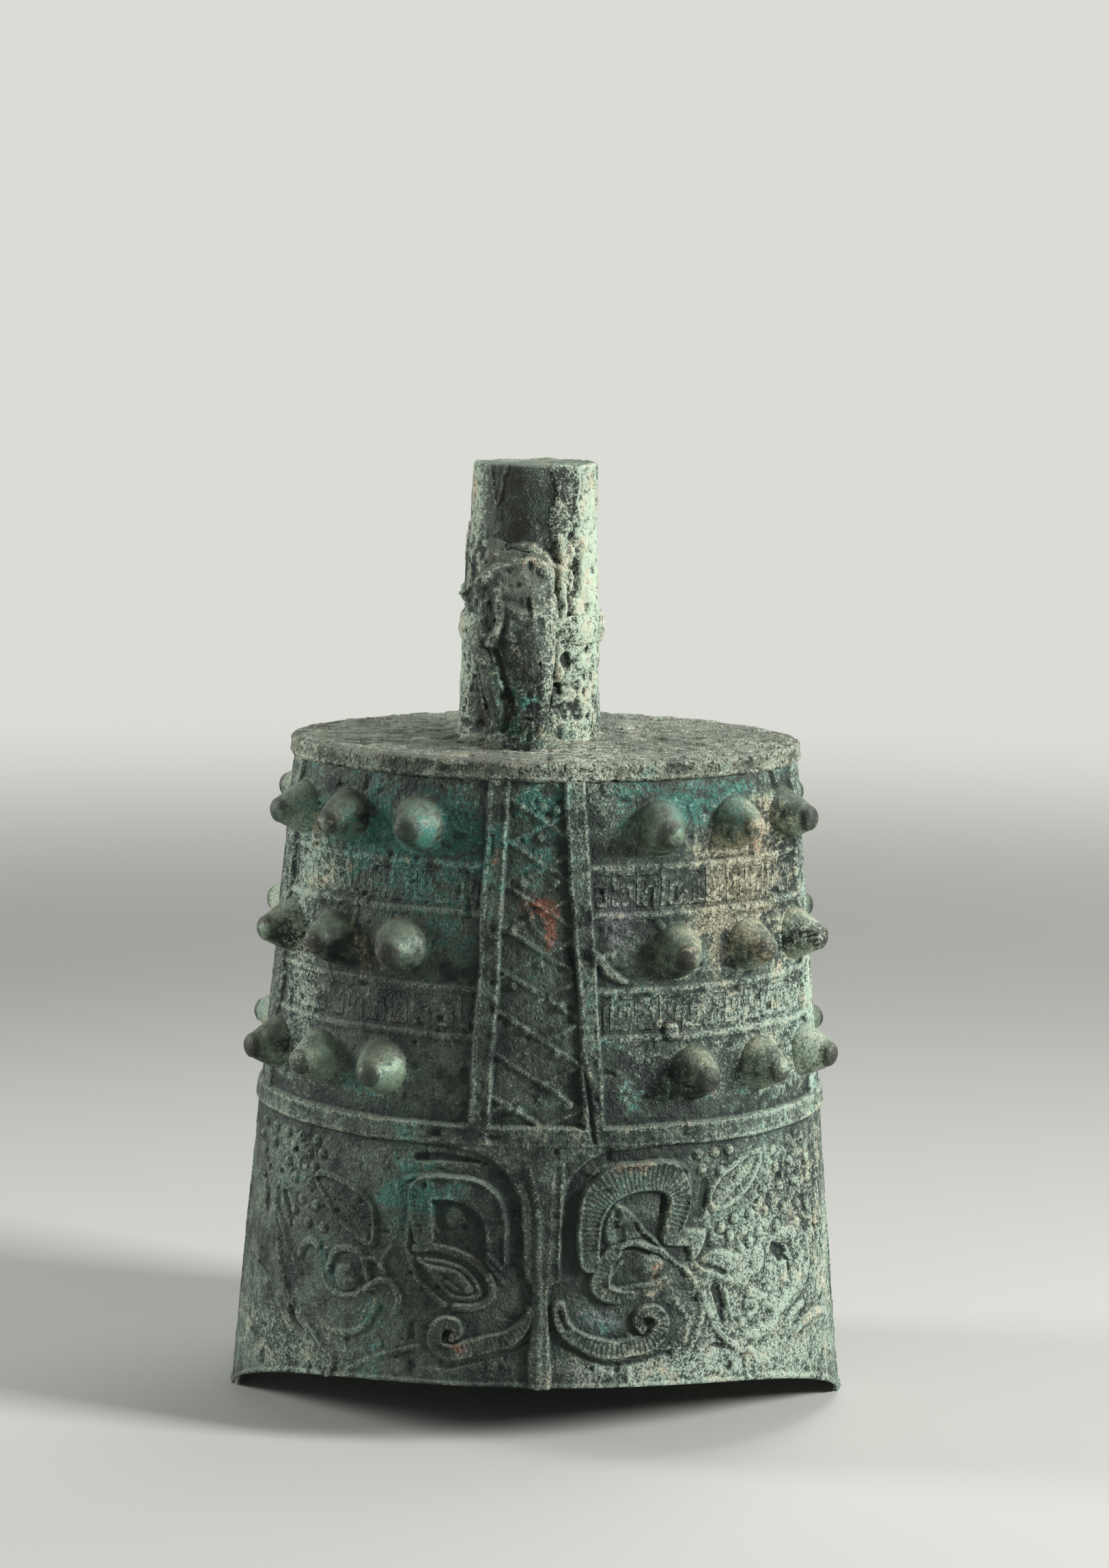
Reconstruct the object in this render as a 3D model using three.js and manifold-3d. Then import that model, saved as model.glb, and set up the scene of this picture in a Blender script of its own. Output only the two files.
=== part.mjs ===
// A bronze ritual bell with a shank handle: an almond-plan body that stands on its two corner tips, an arched
// mouth, a flat crown, thirty-six conical bosses, and a hollow shank with a ring and a hanging loop.
// Millimetres, +Z up. The origin is on the standing plane, midway between the tips. The front faces -Y.

import * as THREE from "three";
import { mergeVertices } from "three/addons/utils/BufferGeometryUtils.js";
import Module from "manifold-3d";

const wasm = await Module();
wasm.setup();

// Driving dimensions of the body
const CROWN_HEIGHT = 281; // standing plane to the crown's upper face
const CROWN_PLATE = 8; // its rim is the band round the crown
const WALL = 5.5;
const MOUTH_PLAN = { halfWidth: 130, halfDepth: 98, swell: 2.6, round: 0.58 };
const CROWN_PLAN = { halfWidth: 104, halfDepth: 76, swell: 1.8, round: 0.54 };
const SKEW = -0.045; // share of the half width that the casting's centre line leans to the left at the crown
const ARCH_RISE = 28; // the mouth's arch above the standing plane
const ARCH_SWELL = 4.5;
const ARCH_ROUND = 0.62;
const FOOT = 1; // width of the flat end left at each corner tip

// Driving dimensions of the raised work on the body
const RIDGE_RELIEF = 2.2;
const MOTIF_RELIEF = 1.5;
const LINE_RELIEF = 1.0;
const RELIEF_ROOT = 1.5; // how far raised work runs back into the wall
const LOWER_BAND = { bottom: 126, height: 8.5 };
const CENTRE_PANEL = { topHalf: 10.5, bottomHalf: 18.8, ridge: 8.5 };
const SIDE_RIDGE = { place: 0.965, width: 3.5 };
const STRIP = { halfHeight: 9.6, line: 2 }; // the two ornament strips between the rows of bosses
const LATTICE = { pitch: 17.5, slope: 0.62, line: 1.6 };
const MASK_FIELD = { halfWidth: 130, bottom: 28, top: 126 }; // the measures that the mask is drawn to
const EYE = { x: 36, z: 71, tilt: 33, rim: [15, 9.5], socket: [11.7, 7.4], ball: [9, 4.5] };

// Driving dimensions of the bosses
const BOSS_LENGTH = 16.8;
const BOSS_RADIUS = 11.2;
const BOSS_TIP_RADIUS = 5.2;
const BOSS_BASE_EDGE = 1; // straight edge at the wall, before the cone draws in
const BOSS_NUB = 3.2; // rounded end past the cone
const BOSS_SWELL = 1.2; // 1 is a straight cone, more is a rounder one
const BOSS_ROOT = 8; // length before the wall's surface cuts it
const BOSS_FAN = 0.92; // share of the wall's own turn that a boss follows
const BOSS_FIRST_ROW = 20; // above the lower band
const BOSS_LAST_ROW = 19.5; // below the crown plate
const BOSS_COLUMNS = {
  inner: { bottom: 0.54, top: 0.45 },
  middle: { bottom: 0.768, top: 0.731 },
  outer: { bottom: 0.933, top: 0.917 },
};
const SEAT_GAP = 0.3;

// Driving dimensions of the shank, its ring and its loop
const SHANK_LENGTH = 114;
const SHANK_FOOT_RADIUS = 29;
const SHANK_HEAD_RADIUS = 25;
const SHANK_WALL = 4.5;
const SHANK_CAP = 6;
const SHANK_OFFSET = -7.5; // the shank stands a little to the left of the crown's middle
const SHANK_LEAN = 0.7; // degrees
const CORE_CLEARANCE = 0.4;
const RING_HEIGHT = 12;
const RING_RISE = 3; // how far it stands out of the shank
const RING_MIDDLE = 47; // above the crown
const LOOP_REACH = 25; // from the shank's surface to the loop's outer face
const LOOP_STRAP = 15; // thickness of the strap past the eye
const LOOP_HALF_WIDTH = 14.5;
const LOOP_TOP = 86; // above the crown
const LOOP_HEAD_SHIFT = -7.3; // the head hangs to the left of the shank's middle
const LOOP_FOOT_SHIFT = -2.5; // the foot stands nearer to it
const LOOP_FOOT_REACH = 18; // from the shank's surface to the foot's outer face
const LOOP_FOOT_ROOT = 3; // how far the foot and head run back into the shank before it cuts them
const LOOP_CORNERS = 0.7; // 1 is an oval section, 0 a square one
const EYE_BOTTOM = 12; // above the crown
const EYE_ROOF = 2; // strap metal between the eye and the ring

// Steps of the curved surfaces
const PLAN_STEPS = 24;
const WALL_ROWS = 2;
const ARCH_STEPS = 32;
const BOSS_SIDES = 10;
const BOSS_RINGS = 3;
const SHANK_SIDES = 32;
const RING_STEPS = 4;
const LOOP_SIDES = 16;
const EYE_SIDES = 16;

const WALL_TOP = CROWN_HEIGHT - CROWN_PLATE;
const LOWER_BAND_TOP = LOWER_BAND.bottom + LOWER_BAND.height;
const BOSS_ROW_PITCH = (WALL_TOP - LOWER_BAND_TOP - BOSS_FIRST_ROW - BOSS_LAST_ROW) / 2;
const FAR = 4 * MOUTH_PLAN.halfWidth; // safely past the whole bell

// Solids and meshes

/** A closed geometry as a solid that can be joined and cut. */
function solid(geometry) {
  const bare = geometry.index ? geometry.toNonIndexed() : geometry.clone();
  bare.deleteAttribute("normal");
  bare.deleteAttribute("uv");
  const merged = mergeVertices(bare, 1e-4);
  return new wasm.Manifold(
    new wasm.Mesh({
      numProp: 3,
      vertProperties: new Float32Array(merged.attributes.position.array),
      triVerts: new Uint32Array(merged.index.array),
    }),
  );
}

/** A solid's triangles as a three.js geometry. */
function geometryOf(body) {
  const mesh = body.getMesh();
  const points = new Float32Array(mesh.numVert * 3);
  for (let i = 0; i < mesh.numVert; i++) {
    points.set(mesh.vertProperties.subarray(i * mesh.numProp, i * mesh.numProp + 3), i * 3);
  }
  const geometry = new THREE.BufferGeometry();
  geometry.setAttribute("position", new THREE.BufferAttribute(points, 3));
  geometry.setIndex(new THREE.BufferAttribute(new Uint32Array(mesh.triVerts), 1));
  geometry.computeVertexNormals();
  return geometry;
}

/** Rings of equally many points, joined in order and capped at both ends. */
function loft(rings) {
  const count = rings[0].length;
  const points = rings.flat();
  const faces = [];
  for (let r = 0; r + 1 < rings.length; r++) {
    for (let i = 0; i < count; i++) {
      const a = r * count + i;
      const b = r * count + ((i + 1) % count);
      faces.push(a, b, b + count, a, b + count, a + count);
    }
  }
  for (const [ring, turned] of [[0, true], [rings.length - 1, false]]) {
    const middle = new THREE.Vector3();
    rings[ring].forEach((p) => middle.addScaledVector(p, 1 / count));
    points.push(middle);
    for (let i = 0; i < count; i++) {
      const a = ring * count + i;
      const b = ring * count + ((i + 1) % count);
      faces.push(...(turned ? [b, a, points.length - 1] : [a, b, points.length - 1]));
    }
  }
  const geometry = new THREE.BufferGeometry().setFromPoints(points);
  geometry.setIndex(faces);
  return geometry;
}

/** Joins a list of solids into one. */
const joined = (list) => list.reduce((whole, piece) => whole.add(piece));

/** A front solid's mirror image on the bell's back. */
function onBack(body) {
  const geometry = geometryOf(body).scale(1, -1, 1);
  geometry.index.array.reverse();
  return solid(geometry);
}

// The body's surface

/** The plan outline's measures at a height, from the mouth's to the crown's. */
function planAt(z) {
  const plan = {};
  for (const key of Object.keys(MOUTH_PLAN)) {
    plan[key] = THREE.MathUtils.lerp(MOUTH_PLAN[key], CROWN_PLAN[key], z / CROWN_HEIGHT);
  }
  return plan;
}

/** Half depth of an almond plan at a share of its half width. */
function almond(share, plan) {
  return plan.halfDepth * Math.max(1 - Math.abs(share) ** plan.swell, 0) ** plan.round;
}

/** The closed plan outline at a height, moved outwards by a margin, counterclockwise from above. */
function planRing(z, margin) {
  const plan = planAt(z);
  const ring = [];
  for (let i = 0; i < 2 * PLAN_STEPS; i++) {
    const angle = (Math.PI * i) / PLAN_STEPS;
    const share = -Math.cos(angle);
    const outward = (plan.halfDepth + margin) / plan.halfDepth;
    const y = almond(share, plan) * outward * (i < PLAN_STEPS ? -1 : 1);
    ring.push(new THREE.Vector3(share * (plan.halfWidth + margin), i % PLAN_STEPS ? y : 0, z));
  }
  return ring;
}

/** The body's outer form between two heights as a full solid, moved outwards by a margin. */
function bodyForm(bottom, top, margin, rows = WALL_ROWS) {
  const rings = [];
  for (let r = 0; r <= rows; r++) rings.push(planRing(THREE.MathUtils.lerp(bottom, top, r / rows), margin));
  return solid(loft(rings));
}

/** A point on the front face and the plan direction that the wall faces there. */
function frontPoint(across, z) {
  const plan = planAt(z);
  const share = skewed(across, z);
  const at = (s) => new THREE.Vector2(s * plan.halfWidth, -almond(s, plan));
  const step = 1e-3;
  const along = at(share + step).sub(at(share - step));
  return { point: at(share), turn: Math.atan2(-along.y, along.x) };
}

/** Where a place across the face lies once the casting's lean is added. The corners stay where they are. */
function skewed(across, z) {
  return across + SKEW * (z / CROWN_HEIGHT) * (1 - across ** 2);
}

/** The mouth's height above the standing plane at a share of the body's half width. */
function mouthHeight(share) {
  return ARCH_RISE * Math.max(1 - Math.abs(share) ** ARCH_SWELL, 0) ** ARCH_ROUND;
}

/** What the arched mouth takes away: everything under the arch, from front to back. */
function mouthCut() {
  const reach = MOUTH_PLAN.halfWidth - FOOT;
  const outline = new THREE.Shape();
  outline.moveTo(-reach, -WALL);
  outline.lineTo(-reach, 0);
  for (let i = 1; i < ARCH_STEPS; i++) {
    const share = -Math.cos((Math.PI * i) / ARCH_STEPS);
    outline.lineTo(share * reach, mouthHeight(share));
  }
  outline.lineTo(reach, 0);
  outline.lineTo(reach, -WALL);
  return prism(outline, FAR);
}

// Raised work on the front face, drawn as the face is seen: x across, y for the height

/** A drawn outline pushed through the front half of the bell, and past its middle by a distance. */
function prism(outline, pastMiddle = 0) {
  const depth = FAR + pastMiddle;
  const geometry = new THREE.ExtrudeGeometry(outline, { depth, bevelEnabled: false, curveSegments: 5 });
  geometry.rotateX(Math.PI / 2);
  geometry.translate(0, pastMiddle, 0);
  return solid(geometry);
}

/** An outline with straight sides through the points. */
const polygon = (points) => new THREE.Shape(points.map(([x, z]) => new THREE.Vector2(x, z)));

/** Where a distance in millimetres from the leaning centre line lies at a height. */
function fromCentre(distance, z) {
  const { halfWidth } = planAt(z);
  return skewed(distance / halfWidth, z) * halfWidth;
}

/** A bar that follows two edges between two heights; each edge gives its x at a height. */
function bar(bottom, top, left, right) {
  return polygon([
    [left(bottom), bottom],
    [right(bottom), bottom],
    [right(top), top],
    [left(top), top],
  ]);
}

/** A band of even width along a smooth line, narrowing from its first width to its last, with blunt ends. */
function ribbon(points, firstWidth, lastWidth = firstWidth, steps = 6) {
  const line = new THREE.CatmullRomCurve3(points.map(([x, z]) => new THREE.Vector3(x, z, 0)));
  const left = [];
  const right = [];
  for (let i = 0; i <= steps; i++) {
    const at = line.getPointAt(i / steps);
    const along = line.getTangentAt(i / steps);
    const half = THREE.MathUtils.lerp(firstWidth, lastWidth, i / steps) / 2;
    left.push([at.x - along.y * half, at.y + along.x * half]);
    right.unshift([at.x + along.y * half, at.y - along.x * half]);
  }
  return polygon([...left, ...right]);
}

/** The points of a scroll that winds inwards. */
function scroll(x, z, radius, start, turns, shrink) {
  const points = [];
  const steps = Math.ceil(turns * 8);
  for (let i = 0; i <= steps; i++) {
    const angle = start + (Math.PI * i) / 4;
    const r = radius * (1 - shrink * (i / steps));
    points.push([x + r * Math.cos(angle), z + r * Math.sin(angle)]);
  }
  return points;
}

/** The same outline mirrored across the centre line. */
function mirrored(outline) {
  return polygon(outline.getPoints().map((p) => [-p.x, p.y]).reverse());
}

/** A point of the mask's drawing, placed on this bell between its mouth and its lower band. */
function onMask([x, z]) {
  const { halfWidth, bottom, top } = MASK_FIELD;
  const share = (z - bottom) / (top - bottom);
  return [(x * MOUTH_PLAN.halfWidth) / halfWidth, THREE.MathUtils.lerp(ARCH_RISE, LOWER_BAND.bottom, share)];
}

/** Half width of the centre panel's opening at a height. */
function panelHalf(z) {
  const share = (z - LOWER_BAND_TOP) / (WALL_TOP - LOWER_BAND_TOP);
  return THREE.MathUtils.lerp(CENTRE_PANEL.bottomHalf, CENTRE_PANEL.topHalf, share);
}

/** The frame round the centre panel and the boss panels. */
function frameWork() {
  const whole = () => FAR / 4;
  const shapes = [bar(LOWER_BAND.bottom, LOWER_BAND_TOP, () => -whole(), whole)];
  for (const side of [-1, 1]) {
    const inner = (z) => fromCentre(side * panelHalf(z), z);
    const outer = (z) => fromCentre(side * (panelHalf(z) + CENTRE_PANEL.ridge), z);
    const edges = side < 0 ? [outer, inner] : [inner, outer];
    shapes.push(bar(LOWER_BAND_TOP - RELIEF_ROOT, WALL_TOP, ...edges));
    const corner = (z) => side * SIDE_RIDGE.place * planAt(z).halfWidth;
    const near = (z) => corner(z) - SIDE_RIDGE.width / 2;
    const away = (z) => corner(z) + SIDE_RIDGE.width / 2;
    shapes.push(bar(LOWER_BAND_TOP - RELIEF_ROOT, WALL_TOP, near, away));
  }
  return shapes;
}

/** The two fine lines that border each ornament strip between the boss rows. */
function stripLines() {
  const shapes = [];
  for (const row of [0, 1]) {
    const middle = bossRowHeight(row) + BOSS_ROW_PITCH / 2;
    for (const edge of [-1, 1]) {
      const z = middle + edge * STRIP.halfHeight;
      for (const side of [-1, 1]) {
        const start = side * (panelHalf(z) + CENTRE_PANEL.ridge - RELIEF_ROOT);
        const end = side * SIDE_RIDGE.place * planAt(z).halfWidth;
        const xs = [fromCentre(start, z), end].sort((a, b) => a - b);
        shapes.push(bar(z - STRIP.line / 2, z + STRIP.line / 2, () => xs[0], () => xs[1]));
      }
    }
  }
  return shapes;
}

/** The centre panel's slanting lines. */
function latticeWork() {
  const shapes = [];
  const middle = (LOWER_BAND_TOP + WALL_TOP) / 2;
  const reach = CENTRE_PANEL.bottomHalf + 2;
  for (let k = -3; k <= 3; k++) {
    const z = middle + k * LATTICE.pitch;
    const ends = [
      [-reach, z + LATTICE.slope * reach],
      [reach, z - LATTICE.slope * reach],
    ];
    shapes.push(ribbon(ends, LATTICE.line, LATTICE.line, 1));
  }
  return shapes;
}

/** One half of the beast mask below the lower band: horn, trunk, ear, leg and curl, as drawn. */
function maskHalf() {
  const horn = [[17, 82], [16, 96], [20, 108], [30, 113.5], [45, 114], [55, 110], [56, 100], [51, 91]];
  const trunk = [[5, 66], [8, 55], [16, 47], [30, 44], ...scroll(42, 52, 9, -Math.PI / 2, 0.95, 0.45)];
  const ear = [[69, 99], [70, 106], [76, 112], [88, 119]];
  const leg = [[70, 66], [74, 56], [79, 46], [82, 36], [83, 31]];
  const curl = scroll(95, 54, 9, Math.PI * 0.9, 0.8, 0.3);
  return [
    ribbon(horn.map(onMask), 10, 8, 10),
    ribbon(trunk.map(onMask), 7, 6, 11),
    ribbon(ear.map(onMask), 4, 2, 4),
    ribbon(leg.map(onMask), 5, 3, 4),
    ribbon(curl.map(onMask), 5, 5, 6),
  ];
}

/** An almond outline round the eye's middle, drawn to a half length and a half height. */
function eyeOutline([halfLength, halfHeight]) {
  const points = [];
  const tilt = THREE.MathUtils.degToRad(EYE.tilt);
  for (let i = 0; i < EYE_SIDES; i++) {
    const angle = (-2 * Math.PI * i) / EYE_SIDES;
    const along = -halfLength * Math.cos(angle);
    const up = halfHeight * Math.sin(angle) * Math.abs(Math.sin(angle)) ** 0.5;
    const x = EYE.x + along * Math.cos(tilt) - up * Math.sin(tilt);
    const z = EYE.z + along * Math.sin(tilt) + up * Math.cos(tilt);
    points.push(onMask([x, z]));
  }
  return polygon(points);
}

/** The mask's middle: a nose ridge that flares out under the lower band. */
function noseBar() {
  const edge = [[3, 30], [3.2, 62], [6, 74], [8, 100], [10, 112], [16, 120], [25, 127]];
  return polygon([...edge, ...edge.map(([x, z]) => [-x, z]).reverse()].map(onMask));
}

/** The outlines and their mirror images. */
const bothSides = (shapes) => [...shapes, ...shapes.map(mirrored)];

/** The mask's raised work: bands and eye rims, sunk sockets, and eyeballs that stand higher. */
function maskWork(raise) {
  const bands = raise([...bothSides([...maskHalf(), eyeOutline(EYE.rim)]), noseBar()], MOTIF_RELIEF);
  const sockets = joined(bothSides([eyeOutline(EYE.socket)]).map((shape) => prism(shape)));
  const balls = raise(bothSides([eyeOutline(EYE.ball)]), RIDGE_RELIEF);
  return bands.subtract(sockets.subtract(bodyForm(-WALL, CROWN_HEIGHT, LINE_RELIEF / 2))).add(balls);
}

/** All the raised work of one face, cut to follow the wall and stand out of it. */
function faceRelief() {
  const core = bodyForm(-2 * WALL, CROWN_HEIGHT, -RELIEF_ROOT);
  const shell = (rise) => bodyForm(-WALL, WALL_TOP, rise).subtract(core);
  const raise = (shapes, rise) => joined(shapes.map((shape) => prism(shape))).intersect(shell(rise));
  const left = (z) => fromCentre(-panelHalf(z), z);
  const right = (z) => fromCentre(panelHalf(z), z);
  return joined([
    maskWork(raise),
    raise(frameWork(), RIDGE_RELIEF),
    raise(stripLines(), LINE_RELIEF),
    raise(latticeWork(), LINE_RELIEF).intersect(prism(bar(LOWER_BAND_TOP, WALL_TOP, left, right))),
  ]);
}

// Pieces

/** The resonating wall, open at the mouth and at the top, with all its raised work. */
function bellWall() {
  const outer = bodyForm(0, WALL_TOP, 0);
  const inner = bodyForm(-WALL, WALL_TOP + WALL, -WALL);
  const relief = faceRelief().subtract(joined(bossPlaces().map(bossRoom)));
  return outer.add(relief).add(onBack(relief)).subtract(inner).subtract(mouthCut());
}

/** The flat crown that closes the wall. */
function crownPlate() {
  return bodyForm(WALL_TOP, CROWN_HEIGHT, RIDGE_RELIEF, 1);
}

/** Height of a row of bosses, counted from the lowest. */
function bossRowHeight(row) {
  return LOWER_BAND_TOP + BOSS_FIRST_ROW + row * BOSS_ROW_PITCH;
}

/** The plain boss, pointing along +Y with its root below zero. */
function bossBlank() {
  const cone = BOSS_LENGTH - BOSS_NUB;
  const profile = [[0, -BOSS_ROOT], [BOSS_RADIUS, -BOSS_ROOT]];
  for (let i = 0; i <= BOSS_RINGS; i++) {
    const share = i / BOSS_RINGS;
    const swell = 1 - share ** BOSS_SWELL;
    const height = THREE.MathUtils.lerp(BOSS_BASE_EDGE, cone, share);
    profile.push([THREE.MathUtils.lerp(BOSS_TIP_RADIUS, BOSS_RADIUS, swell), height]);
  }
  for (const rise of [0.45, 0.8]) {
    profile.push([BOSS_TIP_RADIUS * Math.sqrt(1 - rise ** 2), cone + rise * BOSS_NUB]);
  }
  profile.push([0, BOSS_LENGTH]);
  return new THREE.LatheGeometry(profile.map(([r, y]) => new THREE.Vector2(r, y)), BOSS_SIDES);
}

/** Every boss of the front face: its name's ending, its row and its place across the face. */
function bossPlaces() {
  return ["lower", "middle", "upper"].flatMap((rowName, row) =>
    Object.entries(BOSS_COLUMNS).flatMap(([columnName, column]) =>
      [["left", -1], ["right", 1]].map(([side, sign]) => ({
        name: `${side}_${rowName}_${columnName}`,
        z: bossRowHeight(row),
        across: sign * THREE.MathUtils.lerp(column.bottom, column.top, row / 2),
      })),
    ),
  );
}

/** A form that points along +Y, turned to the front wall at a boss's place. */
function onWall(geometry, { across, z }) {
  const { point, turn } = frontPoint(across, z);
  geometry.rotateX(Math.PI);
  geometry.rotateZ(-turn * BOSS_FAN);
  geometry.translate(point.x, point.y, z);
  return solid(geometry);
}

/** The room that a boss takes in the raised work round it. */
function bossRoom(spot) {
  const radius = BOSS_RADIUS + SEAT_GAP;
  return onWall(new THREE.CylinderGeometry(radius, radius, 2 * BOSS_LENGTH, BOSS_SIDES), spot);
}

/** Moves a form that stands on the crown's middle onto the shank's leaning axis. */
function onShankAxis(geometry) {
  const lean = Math.tan(THREE.MathUtils.degToRad(SHANK_LEAN));
  const shear = new THREE.Matrix4().makeShear(0, 0, 0, 0, lean, 0);
  geometry.applyMatrix4(shear);
  geometry.translate(SHANK_OFFSET, 0, CROWN_HEIGHT);
  return geometry;
}

/** The shank's radius at a height above the crown. */
const shankRadius = (z) => THREE.MathUtils.lerp(SHANK_FOOT_RADIUS, SHANK_HEAD_RADIUS, z / SHANK_LENGTH);

/** An upright taper about the shank's axis between two heights, its radius changed by a margin. */
function taper(bottom, top, margin) {
  const geometry = new THREE.CylinderGeometry(
    shankRadius(top) + margin,
    shankRadius(bottom) + margin,
    top - bottom,
    SHANK_SIDES,
  );
  geometry.rotateX(Math.PI / 2);
  geometry.translate(0, 0, (top + bottom) / 2);
  return solid(onShankAxis(geometry));
}

/** The hollow shank, closed at the top and open where it stands on the crown. */
function shank() {
  return taper(0, SHANK_LENGTH, 0).subtract(taper(-WALL, SHANK_LENGTH - SHANK_CAP, -SHANK_WALL));
}

/** The baked clay that the shank was cast round, still inside it. */
function clayCore() {
  return taper(0, SHANK_LENGTH - SHANK_CAP - CORE_CLEARANCE, -SHANK_WALL - CORE_CLEARANCE);
}

/** The ring round the shank, with a rounded outer face. */
function ring() {
  const bottom = RING_MIDDLE - RING_HEIGHT / 2;
  const top = RING_MIDDLE + RING_HEIGHT / 2;
  const profile = [];
  for (let i = 0; i <= RING_STEPS; i++) {
    const share = i / RING_STEPS;
    const z = THREE.MathUtils.lerp(bottom, top, share);
    const bulge = Math.sin(Math.PI * THREE.MathUtils.lerp(0.12, 0.88, share)) ** 0.6;
    profile.push([shankRadius(z) + RING_RISE * bulge, z]);
  }
  profile.push([shankRadius(top) + SEAT_GAP, top], [shankRadius(bottom) + SEAT_GAP, bottom], profile[0]);
  const geometry = new THREE.LatheGeometry(profile.map(([r, y]) => new THREE.Vector2(r, y)), SHANK_SIDES);
  geometry.rotateX(Math.PI / 2);
  return solid(onShankAxis(geometry));
}

/** The loop's sections from the foot up: height, sideways shift, back and front as y, share of full width. */
function loopSections() {
  const front = (z) => -(shankRadius(z) + LOOP_REACH);
  const strap = (z) => front(z) + LOOP_STRAP;
  const root = (z) => -shankRadius(z) + LOOP_FOOT_ROOT;
  const footFront = -(SHANK_FOOT_RADIUS + LOOP_FOOT_REACH);
  const eyeTop = RING_MIDDLE - RING_HEIGHT / 2 - EYE_ROOF;
  const eyeMiddle = (EYE_BOTTOM + eyeTop) / 2;
  const cheek = 0.75 * LOOP_TOP;
  const brow = 0.9 * LOOP_TOP;
  const between = (share) => THREE.MathUtils.lerp(LOOP_FOOT_SHIFT, LOOP_HEAD_SHIFT, share);
  const part = (z, share, back, face, width) => ({ z, shift: between(share), back, front: face, width });
  return [
    part(0, 0, root(0), footFront, 0.54),
    part(EYE_BOTTOM / 2, 0, root(0), footFront - 2, 0.55),
    part(EYE_BOTTOM, 0.3, strap(EYE_BOTTOM), front(EYE_BOTTOM), 0.62),
    part(eyeMiddle, 0.65, strap(eyeMiddle), front(eyeMiddle) - 1, 0.79),
    part(eyeTop, 0.85, strap(eyeTop), front(eyeTop), 0.92),
    part(RING_MIDDLE, 1, root(RING_MIDDLE), front(RING_MIDDLE), 1),
    part(cheek, 1, root(cheek), front(cheek) + 1.5, 1),
    part(brow, 1, root(brow), front(brow) + 6, 0.88),
    part(LOOP_TOP, 1, root(LOOP_TOP), front(LOOP_TOP) + 20, 0.64),
  ];
}

/** The hanging loop on the front: a strap from a broad head down to a narrow foot, with an eye behind it. */
function loop() {
  const soft = (v) => Math.sign(v) * Math.abs(v) ** LOOP_CORNERS;
  const rings = loopSections().map(({ z, shift, back, front, width }) => {
    const points = [];
    for (let i = 0; i < LOOP_SIDES; i++) {
      const angle = (2 * Math.PI * i) / LOOP_SIDES;
      const x = shift + width * LOOP_HALF_WIDTH * soft(Math.cos(angle));
      const y = (back + front) / 2 + ((back - front) / 2) * soft(Math.sin(angle));
      points.push(new THREE.Vector3(x, y, z));
    }
    return points;
  });
  const strap = solid(onShankAxis(loft(rings)));
  return strap.subtract(taper(-WALL, SHANK_LENGTH + WALL, SEAT_GAP)).subtract(ringRoom());
}

/** The room the ring takes out of the loop, with the seat's gap all round. */
function ringRoom() {
  const half = RING_HEIGHT / 2 + SEAT_GAP;
  return taper(RING_MIDDLE - half, RING_MIDDLE + half, RING_RISE + SEAT_GAP);
}

// Finishes

const bronze = (color, roughness) => new THREE.MeshStandardMaterial({ color, roughness, metalness: 0.35 });
const FINISHES = {
  wall: bronze(0x4f6b5e, 0.82),
  crown: bronze(0x8d9a86, 0.88),
  shank: bronze(0x7f8a78, 0.86),
  boss: bronze(0x4a5f55, 0.72),
  clay: new THREE.MeshStandardMaterial({ color: 0x8a6a4c, roughness: 1, metalness: 0 }),
};

// The assembly

const bell = new THREE.Group();

/** Adds a solid to the bell as a named mesh. */
function place(name, body, finish) {
  const mesh = new THREE.Mesh(geometryOf(body), finish);
  mesh.name = name;
  bell.add(mesh);
}

place("bell_wall", bellWall(), FINISHES.wall);
place("crown_plate", crownPlate(), FINISHES.crown);
place("shank_handle", shank(), FINISHES.shank);
place("shank_clay_core", clayCore(), FINISHES.clay);
place("shank_ring", ring(), FINISHES.shank);
place("hanging_loop", loop(), FINISHES.shank);

const seat = bodyForm(-WALL, CROWN_HEIGHT, SEAT_GAP);
for (const spot of bossPlaces()) {
  const front = onWall(bossBlank(), spot).subtract(seat);
  place(`boss_front_${spot.name}`, front, FINISHES.boss);
  place(`boss_back_${spot.name}`, onBack(front), FINISHES.boss);
}

export default bell;
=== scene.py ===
"""Bronze bell with a shank handle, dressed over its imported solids.

The casting has an almond plan, stands on the two tips of its body, and carries thirty-six bosses, framed
panels and a beast mask. Sizes are in millimetres until a mesh is made; the meshes are in metres.
"""

import logging
import math
from collections.abc import Callable, Sequence
from copy import copy
from dataclasses import dataclass, field
from enum import Enum

import bpy
import numpy as np
from mathutils import Matrix, Vector


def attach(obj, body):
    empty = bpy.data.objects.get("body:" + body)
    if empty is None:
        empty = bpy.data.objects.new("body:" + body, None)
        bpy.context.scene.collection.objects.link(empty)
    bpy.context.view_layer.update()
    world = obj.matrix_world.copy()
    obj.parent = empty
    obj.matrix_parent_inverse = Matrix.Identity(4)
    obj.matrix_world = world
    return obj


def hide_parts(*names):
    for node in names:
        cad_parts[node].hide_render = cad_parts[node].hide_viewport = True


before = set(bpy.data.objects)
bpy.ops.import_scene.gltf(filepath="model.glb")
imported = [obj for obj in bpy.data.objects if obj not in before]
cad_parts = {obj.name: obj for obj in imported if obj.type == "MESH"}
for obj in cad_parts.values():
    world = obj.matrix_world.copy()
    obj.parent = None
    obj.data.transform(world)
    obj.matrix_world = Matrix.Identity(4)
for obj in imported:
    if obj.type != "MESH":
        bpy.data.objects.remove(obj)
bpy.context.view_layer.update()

log = logging.getLogger("bell")
Array = np.ndarray
Point = tuple[float, float]
Tone = tuple[float, float, float, float]
MM = 0.001
BODY = "root"
SEEN_WHITE = 1.0  # strength at which what the camera sees shows its colour as written


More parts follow.
